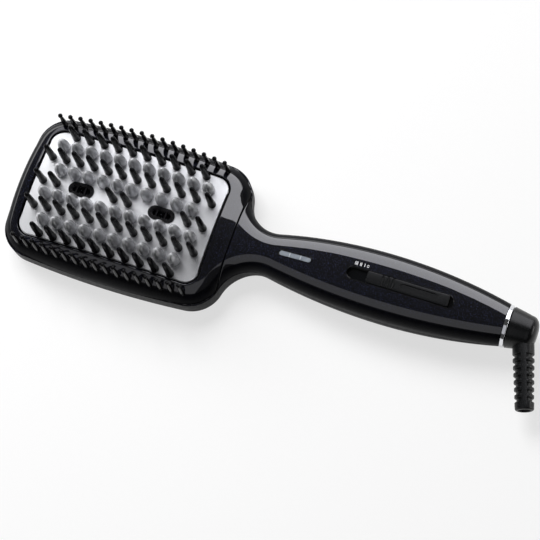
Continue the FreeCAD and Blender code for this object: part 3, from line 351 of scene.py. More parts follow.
def carved(piece: Piece, cutters: Sequence[Piece]) -> Piece:
    """Cuts shapes out of a piece, and removes them.

    Args:
        piece: what is cut.
        cutters: closed shapes that are taken away.

    Returns:
        The same piece.
    """
    for cutter in cutters:
        cut = piece.modifiers.new(cutter.name, "BOOLEAN")
        cut.operation = "DIFFERENCE"
        cut.solver = "EXACT"
        cut.material_mode = "TRANSFER"
        cut.object = cutter
    bpy.context.view_layer.update()
    baked(piece)
    for cutter in cutters:
        bpy.data.objects.remove(cutter)
    return piece


def grown(
    name: str, tree: Tree, spots: Sequence[Point], finish: "Finish", loop: bool = False, **sizes: float
) -> Piece:
    """Runs a node tree on points and keeps its result as a plain mesh.

    Args:
        name: the piece's name.
        tree: the tree to run.
        spots: points in millimetres where it starts.
        finish: what the piece is made of.
        loop: whether the points are joined into a closed path.
        sizes: millimetres, or a whole number for a count, for the tree's named inputs.

    Returns:
        The new object, at the origin.
    """
    start = bpy.data.meshes.new(name)
    edges = [(index, (index + 1) % len(spots)) for index in range(len(spots))] if loop else []
    start.from_pydata(in_metres(spots), edges, [])
    made = put_in_scene(name, start)
    modifier = made.modifiers.new(name, "NODES")
    modifier.node_group = tree
    for item in tree.interface.items_tree:
        if item.name == "Material":
            modifier[item.identifier] = finish.material()
        elif item.name in sizes:
            size = sizes[item.name]
            modifier[item.identifier] = size if isinstance(size, int) else size * MM
    bpy.context.view_layer.update()
    baked(made)
    return made


def fitted(piece: Piece, body: Body, nodes: Sequence[str] = ()) -> None:
    """Puts a finished piece on its body.

    Args:
        piece: the finished piece.
        body: what it moves with.
        nodes: the CAD nodes that it stands for.
    """
    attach(piece, body.value)
    if nodes:
        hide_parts(*nodes)
    LOG.info("%s: %d faces on %s", piece.name, len(piece.data.polygons), body.value)


# ---------------------------------------------------------------- finishes


@dataclass(frozen=True)
class Finish:
    """A moulded or worked surface: two mottled tones, a fine grain and an even gloss."""

    name: str
    colour: str
    tone: str
    roughness: float
    spread: float = 0.06
    grain_mm: float = 0.6
    depth_mm: float = 0.01
    metallic: float = 0.0
    specular: float = 0.5
    coat: float = 0.0
    coat_roughness: float = 0.03
    coat_ior: float = 1.5
    stretch: Point = (1.0, 1.0, 1.0)
    least_rough: float = 0.02
    grain_detail: float = 3.0
    grain_mix: float = 0.6
    grain_push: float = 0.5
    gloss_span: Spot = (0.3, 0.7)
    tone_span: Spot = (0.35, 0.65)

    def material(self) -> bpy.types.Material:
        """Makes the material once, and gives the same one afterwards."""
        known = bpy.data.materials.get(self.name)
        if known:
            return known
        made = bpy.data.materials.new(self.name)
        tree = bare_tree(made)
        place = out_of(tree, "ShaderNodeTexCoord", output="Object")
        place = out_of(tree, "ShaderNodeMapping", {"Vector": place, "Scale": self.stretch})
        grain = out_of(tree, "ShaderNodeTexNoise", {
            "Vector": place, "Scale": 1 / (self.grain_mm * MM), "Detail": self.grain_detail,
            "Roughness": self.grain_mix,
        })
        gloss = max(self.roughness - self.spread, self.least_rough), self.roughness + self.spread
        rough = ranged(tree, grain, self.gloss_span, gloss)
        bump = {"Height": grain, "Strength": self.grain_push, "Distance": self.depth_mm * MM}
        shader = out_of(tree, "ShaderNodeBsdfPrincipled", {
            "Base Color": self.tones(tree, place, grain), "Roughness": rough,
            "Normal": out_of(tree, "ShaderNodeBump", bump), "Metallic": self.metallic,
            "Specular IOR Level": self.specular, "Coat Weight": self.coat_share(tree),
            "Coat Roughness": self.coat_roughness, "Coat IOR": self.coat_ior,
        })
        add_node(tree, "ShaderNodeOutputMaterial", {"Surface": shader})
        made.diffuse_color = linear(self.colour)
        return made

    def coat_share(self, tree: Tree) -> Given:
        """Gives the clear coat's weight, here the same all over."""
        return self.coat

    def tones(self, tree: Tree, place: Socket, grain: Socket) -> Socket:
        """Mixes the two tones by the grain.

        Args:
            tree: the material's tree.
            place: the coordinates in use.
            grain: the grain's value.

        Returns:
            The colour's socket.
        """
        share = ranged(tree, grain, self.tone_span)
        return blended(tree, share, linear(self.colour), linear(self.tone))


@dataclass(frozen=True)
class FlakedGloss(Finish):
    """Lacquered plastic with metal flakes under the clear coat, bare and satin on its side walls."""

    flake: str = "#3e4468"
    flake_mm: float = 0.34
    flake_share: float = 0.45
    flake_edge: Spot = (0.45, 0.2)
    bare_from: float = 0.74
    coated_from: float = 0.79

    def flatness(self, tree: Tree, low: float, high: float) -> Socket:
        """Gives 0 on walls and 1 on faces that look up or down, between two cosines of the tilt."""
        facing = out_of(tree, "ShaderNodeTexCoord", output="Normal")
        rise = out_of(tree, "ShaderNodeSeparateXYZ", {"Vector": facing}, "Z")
        return ranged(tree, maths(tree, "ABSOLUTE", rise), (low, high))

    def coat_share(self, tree: Tree) -> Given:
        """Lays the clear coat on the faces and leaves the side walls bare."""
        return self.flatness(tree, self.bare_from, self.coated_from)

    def tones(self, tree: Tree, place: Socket, grain: Socket) -> Socket:
        """Scatters flakes of differing brightness over the dark ground, where the coat lies flat."""
        ground = Finish.tones(self, tree, place, grain)
        cells = add_node(tree, "ShaderNodeTexVoronoi", {"Vector": place, "Scale": 1 / (self.flake_mm * MM)})
        pick = out_of(tree, "ShaderNodeSeparateColor", {"Color": cells.outputs["Color"]}, "Red")
        chosen = ranged(tree, pick, (1 - self.flake_share, 1.0))
        core = ranged(tree, cells.outputs["Distance"], self.flake_edge)
        share = maths(tree, "MULTIPLY", chosen, core)
        share = maths(tree, "MULTIPLY", share, self.flatness(tree, self.coated_from, 1.0))
        return blended(tree, share, ground, linear(self.flake))


# Lacquered ABS, moulded and polished: deep black, mirror-like, with navy flakes that show where no lamp does
SHELL_LACQUER = FlakedGloss(
    "lacquered_abs_with_navy_flake", "#020205", "#05060d", 0.4, grain_mm=2.0, depth_mm=0.002,
    specular=0.05, coat_roughness=0.02, coat_ior=1.7,
)
# Polished ABS without flake, for the rolled rims of the openings. It also lines the sunk switch tray and
# window, whose floors and walls it draws flakeless black: painted shade in the recesses
RIM_GLOSS_AND_RECESS_SHADE = Finish("polished_black_abs_and_recess_shade", "#060709", "#0b0c0f", 0.08, spread=0.03, depth_mm=0.001)
# Anodised aluminium, satin: an even pale silver with a soft fine-grained shine
PLATE_SILVER = Finish(
    "satin_anodised_aluminium", "#dadbde", "#d0d1d4", 0.36, spread=0.05, grain_mm=0.35, depth_mm=0.004,
    metallic=0.2,
)
# Ceramic-coated aluminium: pale grey, half satin, so each nub is bright on one side and grey on the other
NUB_CERAMIC = Finish(
    "ceramic_coated_aluminium", "#d2d3d6", "#c8c9cc", 0.24, spread=0.05, grain_mm=0.5, depth_mm=0.003,
    metallic=0.34, coat=0.5, coat_roughness=0.1,
)
# Heat-proof nylon, moulded: black and half satin, so a pale streak runs down each bristle
BRISTLE_NYLON = Finish(
    "satin_black_nylon", "#030304", "#060608", 0.24, grain_mm=0.4, depth_mm=0.004, specular=0.1
)
# Nylon with a moulded gloss: black, with small sharp lights on the balls
COMB_NYLON = Finish(
    "glossy_black_nylon", "#030304", "#060607", 0.16, grain_mm=0.5, depth_mm=0.003, specular=0.15
)
# Glass-filled nylon: black and a little grainy
GRILLE_NYLON = Finish(
    "glass_filled_nylon", "#030304", "#070708", 0.45, grain_mm=0.5, depth_mm=0.01, specular=0.2
)
# The same nylon, drawn pale grey for the pegs inside the outlets: a painted highlight where they catch the
# light
PEG_PAINTED_HIGHLIGHT = Finish("glass_filled_nylon_painted_highlight", "#3f4042", "#4a4b4d", 0.4, grain_mm=0.4, depth_mm=0.01)
# Smoked polycarbonate: grey-blue, glossy and faintly cloudy
LENS_SMOKE = Finish(
    "smoked_polycarbonate", "#757c85", "#828991", 0.2, spread=0.04, grain_mm=2.5, depth_mm=0.002
)
# Clear polycarbonate ribs between the lamps: nearly white where the light runs in them
LENS_CLEAR = Finish("clear_polycarbonate_edge", "#c9ced4", "#b5bac1", 0.12, spread=0.03, grain_mm=2.0)
# Spark-eroded ABS: nearly black, evenly dull, with a fine grain
SLIDER_ABS = Finish(
    "spark_eroded_abs", "#08090a", "#0e0f10", 0.34, grain_mm=0.35, depth_mm=0.012, specular=0.22
)
# Pad-printed ink: flat white
MARK_INK = Finish("white_pad_print", "#e9eaec", "#dcdde0", 0.5, grain_mm=0.3, depth_mm=0.003)
# Chromium plate on moulded plastic: a bright hard mirror
RING_CHROME = Finish(
    "bright_chromium_plate", "#e6e7ea", "#dcdde1", 0.07, spread=0.02, grain_mm=1.5, depth_mm=0.001,
    metallic=1.0,
)
# Moulded ABS, satin: black with soft broad lights
CAP_ABS = Finish("satin_black_abs", "#060708", "#0b0c0d", 0.3, grain_mm=0.45, depth_mm=0.012, specular=0.3)
# Thermoplastic rubber: black and dull, paler along the ribs
BOOT_RUBBER = Finish(
    "thermoplastic_rubber", "#070809", "#0d0e0f", 0.38, grain_mm=0.6, depth_mm=0.015, specular=0.3
)
# Zinc-plated steel: blue-grey, bright, slightly uneven
SCREW_STEEL = Finish(
    "zinc_plated_steel", "#9a9ea3", "#83878d", 0.3, spread=0.08, grain_mm=0.8, depth_mm=0.004, metallic=1.0
)
# The finish of each record slot, for the CAD nodes that stay: each has the mottle of its own stock
INSIDE: dict[str, Finish] = {
    "gloss_shell": SHELL_LACQUER,
    "plate_metal": PLATE_SILVER,
    "bristle_black": BRISTLE_NYLON,
    "comb_black": COMB_NYLON,
    "grille_black": GRILLE_NYLON,
    "lens_grey": LENS_SMOKE,
    "slider_black": SLIDER_ABS,
    "ring_chrome": RING_CHROME,
    "cap_black": CAP_ABS,
    "boot_rubber": BOOT_RUBBER,
    "steel": SCREW_STEEL,
    "contact_brass": Finish("rolled_brass", "#b5934a", "#a5843f", 0.28, grain_mm=0.7, metallic=1.0),
    "heat_proof": Finish("glass_filled_polymer", "#1a1a1b", "#242322", 0.55, grain_mm=0.6, depth_mm=0.02),
    "heater_foil": Finish("rolled_aluminium_foil", "#b8babc", "#a7a9ac", 0.35, grain_mm=1.2, metallic=1.0),
    "mica": Finish("pressed_mica", "#b7a583", "#c8b998", 0.3, spread=0.1, grain_mm=1.8, depth_mm=0.02),
    "board_green": Finish("solder_mask_on_glass_board", "#1d5a35", "#246841", 0.3, grain_mm=1.0),
    "lamp_blue": Finish("tinted_epoxy_lamp", "#9fc4ee", "#8ab4e4", 0.15, grain_mm=0.8),
    "module_grey": Finish("potted_epoxy", "#3b3d40", "#46484b", 0.45, grain_mm=0.9, depth_mm=0.02),
    "bush_white": Finish("turned_acetal", "#dcdcd8", "#d2d2cd", 0.36, grain_mm=0.6, stretch=(0.1, 1.0, 1.0)),
}


# ---------------------------------------------------------------- what repeats


def new_tree(name: str, **inputs: float) -> tuple[Tree, bpy.types.NodeOutputs]:
    """Starts a geometry tree that takes points, named sizes and a material.

    Args:
        name: the tree's name.
        inputs: the default of each named input, a whole number for a count.

    Returns:
        The tree and what its input node gives.
    """
    tree = bpy.data.node_groups.new(name, "GeometryNodeTree")
    add = tree.interface.new_socket
    add("Geometry", in_out="INPUT", socket_type="NodeSocketGeometry")
    add("Geometry", in_out="OUTPUT", socket_type="NodeSocketGeometry")
    for label, default in inputs.items():
        kind = "NodeSocketInt" if isinstance(default, int) else "NodeSocketFloat"
        add(label, in_out="INPUT", socket_type=kind).default_value = default
    add("Material", in_out="INPUT", socket_type="NodeSocketMaterial")
    return tree, add_node(tree, "NodeGroupInput").outputs


def close_tree(tree: Tree, given: bpy.types.NodeOutputs, shape: Socket) -> Tree:
    """Ends a geometry tree with real meshes, smooth shading and a material.

    Args:
        tree: the tree.
        given: what its input node gives.
        shape: the geometry so far.

    Returns:
        The same tree.
    """
    real = out_of(tree, "GeometryNodeRealizeInstances", {"Geometry": shape})
    smooth = out_of(tree, "GeometryNodeSetShadeSmooth", {"Geometry": real})
    dressed = out_of(tree, "GeometryNodeSetMaterial", {"Geometry": smooth, "Material": given["Material"]})
    add_node(tree, "NodeGroupOutput", {0: dressed})
    return tree


def set_on_points(tree: Tree, given: bpy.types.NodeOutputs, shape: Socket) -> Tree:
    """Ends a geometry tree, as close_tree does, with a shape on every point that it is given."""
    spots = out_of(tree, "GeometryNodeMeshToPoints", {"Mesh": given["Geometry"]})
    return close_tree(
        tree, given, out_of(tree, "GeometryNodeInstanceOnPoints", {"Points": spots, "Instance": shape})
    )


def circle(tree: Tree, sides: Given, radius: Given) -> Socket:
    """Draws a circle in a geometry tree."""
    return out_of(tree, "GeometryNodeCurvePrimitiveCircle", {"Resolution": sides, "Radius": radius})


def swept(tree: Tree, path: Socket, section: Socket, **more: object) -> Socket:
    """Sweeps a section along a path in a geometry tree."""
    return out_of(tree, "GeometryNodeCurveToMesh", {"Curve": path, "Profile Curve": section, **more})


def pin_tree(name: str, profile: Sequence[Spot], crowding: float = 1.9) -> Tree:
    """Makes a tree that stands a turned pin on every point.

    Args:
        name: the tree's name.
        profile: share of the height and share of the foot radius, from the foot up.
        crowding: how much the rings crowd together towards the tip, where 1 is not at all.

    Returns:
        The tree, with inputs Height, Radius, Sides, Rings and Material.
    """
    tree, given = new_tree(name, Height=0.01, Radius=0.002, Sides=20, Rings=18)
    top = out_of(tree, "ShaderNodeCombineXYZ", {"Z": given["Height"]})
    line = out_of(tree, "GeometryNodeCurvePrimitiveLine", {"End": top})
    run = out_of(tree, "GeometryNodeResampleCurve", {"Curve": line, "Count": given["Rings"]})
    share = out_of(tree, "GeometryNodeSplineParameter")
    left = maths(tree, "POWER", maths(tree, "SUBTRACT", 1.0, share), crowding)
    height = maths(tree, "MULTIPLY", maths(tree, "SUBTRACT", 1.0, left), given["Height"])
    spot = out_of(tree, "ShaderNodeCombineXYZ", {"Z": height})
    spaced = out_of(tree, "GeometryNodeSetPosition", {"Geometry": run, "Position": spot})
    shape = add_node(tree, "ShaderNodeFloatCurve", {"Value": share})
    curve = shape.mapping.curves[0]
    while len(curve.points) < len(profile):
        curve.points.new(0.5, 0.5)
    for point, place in zip(curve.points, profile):
        point.location = place
        point.handle_type = "AUTO_CLAMPED"
    shape.mapping.update()
    width = maths(tree, "MULTIPLY", shape.outputs[0], given["Radius"])
    pin = swept(tree, spaced, circle(tree, given["Sides"], 1.0), **{"Scale": width, "Fill Caps": True})
    return set_on_points(tree, given, pin)


def bead_tree() -> Tree:
    """Makes a tree that lays a round bead along a closed path, with inputs Radius and Sides."""
    tree, given = new_tree("rolled_rim", Radius=0.0003, Sides=10)
    path = out_of(tree, "GeometryNodeMeshToCurve", {"Mesh": given["Geometry"]})
    return close_tree(tree, given, swept(tree, path, circle(tree, given["Sides"], given["Radius"])))


def bar_tree() -> Tree:
    """Makes a tree that lays a round bar across Y on every point, with inputs Length, Radius and Sides."""
    tree, given = new_tree("cross_bars", Length=0.006, Radius=0.0006, Sides=16)
    sizes = {"Vertices": given["Sides"], "Radius": given["Radius"], "Depth": given["Length"]}
    bar = out_of(tree, "GeometryNodeMeshCylinder", sizes)
    laid = out_of(tree, "GeometryNodeTransform", {"Geometry": bar, "Rotation": (math.pi / 2, 0.0, 0.0)})
    return set_on_points(tree, given, laid)


def screw_tree(sides: int = 28, slot_reach: float = 1.3) -> Tree:
    """Makes a tree that sets a cross-slotted screw head on every point.

    Args:
        sides: how many sides the round head has.
        slot_reach: a slot's length as a multiple of the head's radius.

    Returns:
        The tree, with inputs Radius, Height, Slot and Material.
    """
    tree, given = new_tree("cross_slot_screws", Radius=0.0026, Height=0.0018, Slot=0.0007)
    radius, height, slot = given["Radius"], given["Height"], given["Slot"]
    head = out_of(tree, "GeometryNodeMeshCone", {
        "Vertices": sides, "Radius Bottom": radius, "Radius Top": radius, "Depth": height,
    })
    slotted = add_node(tree, "GeometryNodeMeshBoolean", {0: head}, operation="DIFFERENCE", solver="EXACT")
    reach = maths(tree, "MULTIPLY", radius, slot_reach)
    for along, across in ((reach, slot), (slot, reach)):
        size = out_of(tree, "ShaderNodeCombineXYZ", {"X": along, "Y": across, "Z": height})
        tree.links.new(out_of(tree, "GeometryNodeMeshCube", {"Size": size}), slotted.inputs[1])
    return set_on_points(tree, given, slotted.outputs[0])


def rib_tree(taper: float, edge: float = 0.00045, edge_steps: int = 4, sides: int = 48) -> Tree:
    """Makes a tree that threads rounded ribs on a line along Z.

    Args:
        taper: the share of the first rib's radius that each next one is smaller by.
        edge: rounding of a rib's edges, in metres.
        edge_steps: steps of that rounding.
        sides: how many sides a rib has around the boot.

    Returns:
        The tree, with inputs Count, Pitch, Radius, Width, Depth and Material.
    """
    tree, given = new_tree("boot_ribs", Count=8, Pitch=0.0041, Radius=0.0054, Width=0.0022, Depth=0.0016)
    step = out_of(tree, "ShaderNodeCombineXYZ", {"Z": given["Pitch"]})
    line = out_of(tree, "GeometryNodeMeshLine", {"Count": given["Count"], "Offset": step})
    section = out_of(
        tree, "GeometryNodeCurvePrimitiveQuadrilateral", {"Width": given["Depth"], "Height": given["Width"]}
    )
    soft = out_of(
        tree, "GeometryNodeFilletCurve", {"Curve": section, "Count": edge_steps, "Radius": edge}, mode="POLY"
    )
    rib = swept(tree, circle(tree, sides, given["Radius"]), soft)
    lost = maths(tree, "MULTIPLY", out_of(tree, "GeometryNodeInputIndex"), taper)
    kept = maths(tree, "SUBTRACT", 1.0, lost)
    scale = out_of(tree, "ShaderNodeCombineXYZ", {"X": kept, "Y": kept, "Z": 1.0})
    threaded = out_of(
        tree, "GeometryNodeInstanceOnPoints", {"Points": line, "Instance": rib, "Scale": scale}
    )
    return close_tree(tree, given, threaded)


# ---------------------------------------------------------------- the housing's form


@dataclass(frozen=True)
class Arc:
    """One arc of the outline's left half, walked from the tip to the handle."""

    centre: Vector
    radius: float
    start: Vector
    end: Vector
    hollow: bool = False
    slack: float = 1e-6

    def heading(self, spot: Vector) -> float:
        """Direction from the centre to a spot."""
        away = spot - self.centre
        return math.atan2(away.y, away.x)

    def turn_to(self, spot: Vector) -> float:
        """Turn from the start to a spot, the short way round."""
        return (self.heading(spot) - self.heading(self.start) + math.pi) % (2 * math.pi) - math.pi

    def covers(self, spot: Vector) -> bool:
        """Whether a spot lies in the arc's sector."""
        return -self.slack <= self.turn_to(spot) / self.turn_to(self.end) <= 1 + self.slack

    def inside(self, spot: Vector) -> float:
        """How far a spot lies inside the arc."""
        reach = (spot - self.centre).length
        return reach - self.radius if self.hollow else self.radius - reach

    def at(self, share: float) -> tuple[Spot, Spot]:
        """The spot at a share of the arc, and the inward direction there."""
        angle = self.heading(self.start) + self.turn_to(self.end) * share
        out = Vector((math.cos(angle), math.sin(angle)))
        spot = self.centre + out * self.radius
        return tuple(spot), tuple(out if self.hollow else -out)

    def height_at(self, x: float, inset: float = 0.0) -> float:
        """Y of the arc, set in by a distance, at a place along the brush."""
        rise = math.sqrt(max((self.radius - inset) ** 2 - (x - self.centre.x) ** 2, 0.0))
        return self.centre.y - rise if self.hollow else self.centre.y + rise


def circles_meet(first: Vector, first_radius: float, second: Vector, second_radius: float) -> Vector:
    """Finds the upper point where two circles meet."""
    across = second - first
    foot = (first_radius ** 2 - second_radius ** 2 + across.length_squared) / (2 * across.length)
    rise = math.sqrt(first_radius ** 2 - foot ** 2)
    along = across.normalized()
    side = Vector((-along.y, along.x)) * rise
    return max((first + along * foot + side, first + along * foot - side), key=lambda point: point.y)


@dataclass
class BrushForm:
    """The shared outline and crown of the housing, in millimetres."""

    tip_reach: float = 66.1
    tip_bow: float = 290.0
    half_width: float = 45.1
    side_x: float = 2.0
    side_bow: float = 570.0
    tip_corner: float = 18.0
    shoulder_x: float = 48.3
    shoulder_radius: float = 19.0
    neck_radius: float = 20.0
    grip_half: float = 19.05
    grip_x: float = 156.0
    grip_radius: float = 335.0
    end_x: float = 224.5
    run_on: float = 10.0
    plate_top: float = 31.0
    crown_along: float = 300.0
    crown_across: float = 140.0
    lip: float = 0.6
    dip_start: float = 60.0
    dip_end: float = 110.0
    arch_top: float = 30.0
    arch_x: float = 160.0
    arch_radius: float = 590.0
    belly_x: float = 160.0
    belly_radius: float = 560.0
    front_edge: float = 9.5
    paddle_edge: float = 5.0
    grip_edge: float = 12.0
    parting: float = 15.0
    least_wall: float = 0.2
    seam_x: float = 66.0
    walk_steps: Sequence[int] = (10, 18, 30, 20, 30)
    grip_steps: int = 90
    square_after: float = 35.0  # length of handle over which the sections turn square to it
    arcs: list[Arc] = field(init=False)

    def __post_init__(self) -> None:
        """Works out the arcs of the outline, each tangent to the next."""
        tip = Vector((self.tip_bow - self.tip_reach, 0.0))
        side = Vector((self.side_x, self.half_width - self.side_bow))
        corner = circles_meet(tip, self.tip_bow - self.tip_corner, side, self.side_bow - self.tip_corner)
        reach = self.side_bow - self.shoulder_radius
        shoulder_y = side.y + math.sqrt(reach ** 2 - (self.shoulder_x - side.x) ** 2)
        shoulder = Vector((self.shoulder_x, shoulder_y))
        grip = Vector((self.grip_x, self.grip_half - self.grip_radius))
        neck = circles_meet(
            shoulder, self.shoulder_radius + self.neck_radius, grip, self.grip_radius + self.neck_radius
        )
        front = Vector((-self.tip_reach, 0.0))
        tip_end = tip + (corner - tip).normalized() * self.tip_bow
        side_start = side + (corner - side).normalized() * self.side_bow
        side_end = side + (shoulder - side).normalized() * self.side_bow
        turn = shoulder + (neck - shoulder).normalized() * self.shoulder_radius
        narrow = neck + (grip - neck).normalized() * self.neck_radius
        # The last arc runs on past the handle's end, so that it covers every spot up to there
        past = self.end_x + self.run_on
        stop = Vector((past, grip.y + math.sqrt(self.grip_radius ** 2 - (past - grip.x) ** 2)))
        self.arcs = [
            Arc(tip, self.tip_bow, front, tip_end),
            Arc(corner, self.tip_corner, tip_end, side_start),
            Arc(side, self.side_bow, side_start, side_end),
            Arc(shoulder, self.shoulder_radius, side_end, turn),
            Arc(neck, self.neck_radius, turn, narrow, hollow=True),
            Arc(grip, self.grip_radius, narrow, stop),
        ]

    def side_fall(self, y: float) -> float:
        """How far the crown falls off across the brush."""
        return y * y / (2 * self.crown_across)

    def plate_height(self, x: float, y: float) -> float:
        """Height of the crowned plate."""
        return self.plate_top - x * x / (2 * self.crown_along) - self.side_fall(y)

    def arch_height(self, x: float) -> float:
        """Height of the grip's long arch."""
        return self.arch_top - self.arch_radius + math.sqrt(self.arch_radius ** 2 - (x - self.arch_x) ** 2)

    def top_line(self, x: float) -> float:
        """Height of the front along the middle, with its dip at the neck."""
        if x <= self.dip_start:
            return self.plate_height(x, 0) + self.lip
        if x >= self.dip_end:
            return self.arch_height(x)
        before = self.plate_height(self.dip_start, 0) + self.lip
        climb = self.arch_height(self.dip_end) - before
        span = self.dip_end - self.dip_start
        share = (x - self.dip_start) / span
        leave = -self.dip_start / self.crown_along * span
        arrive = (self.arch_x - self.dip_end) / self.arch_radius * span
        bend = (1 - share) * (leave - climb) - share * (arrive - climb)
        return before + share * climb + share * (1 - share) * bend

    def crown(self, x: float, y: float) -> float:
        """Height of the front before its edge is rounded."""
        return self.top_line(x) - self.side_fall(y)

    def half_at(self, x: float) -> float:
        """Half the outline's width at a place along the brush."""
        for arc in self.arcs[:-1]:
            if x <= arc.end.x:
                return arc.height_at(x)
        return self.arcs[-1].height_at(x)

    def comb_line(self, x: float, inset: float) -> float:
        """Y of a line that follows the paddle's long side at a distance inside it."""
        return self.arcs[LONG_SIDE].height_at(x, inset)

    def edge_distance(self, x: float, y: float) -> float:
        """How far a spot lies inside the outline, or less than nought outside it."""
        spot = Vector((x, abs(y)))
        return min((arc.inside(spot) for arc in self.arcs if arc.covers(spot)), default=self.front_edge)

    def edge_drop(self, inset: float) -> float:
        """How far the rounded front edge has fallen at a distance inside the outline."""
        if inset >= self.front_edge:
            return 0.0
        across = self.front_edge - max(inset, 0.0)
        return self.front_edge - math.sqrt(self.front_edge ** 2 - across ** 2)

    def front(self, x: float, y: float) -> float:
        """Height of the finished front surface."""
        drop = self.edge_drop(self.edge_distance(x, y))
        return max(self.crown(x, y) - drop, self.parting + self.least_wall)

    def belly(self, x: float) -> float:
        """Height of the underside along the middle."""
        if x <= self.belly_x:
            return 0.0
        return self.belly_radius - math.sqrt(self.belly_radius ** 2 - (x - self.belly_x) ** 2)

    def back_edge(self, x: float) -> float:
        """Rounding of the lower edge, which grows along the neck."""
        neck = self.arcs[NECK]
        share = min(max((x - neck.start.x) / (neck.end.x - neck.start.x), 0.0), 1.0)
        return self.paddle_edge + (self.grip_edge - self.paddle_edge) * share * share * (3 - 2 * share)

    def side_spots(self) -> list[tuple[Spot, Spot]]:
        """Walks the left half of the outline from the tip to the handle's end.

        Returns:
            Pairs of a spot on the outline and the inward direction there, which turns square to
            the brush along the handle.
        """
        walk: list[tuple[Spot, Spot]] = []
        for arc, steps in zip(self.arcs, self.walk_steps):
            walk += [arc.at(step / steps) for step in range(steps)]
        grip = self.arcs[-1]
        for step in range(self.grip_steps + 1):
            x = grip.start.x + (self.end_x - grip.start.x) * step / self.grip_steps
            leaning = max(0.0, 1 - (x - grip.start.x) / self.square_after)
            slope = (grip.centre.x - x) / grip.radius * leaning
            walk.append(((x, grip.height_at(x)), (slope, -math.sqrt(1 - slope * slope))))
        return walk


FORM = BrushForm()


# ---------------------------------------------------------------- sub-assemblies
# Sizes are in millimetres and angles in degrees. Points turn to metres where a piece is made.


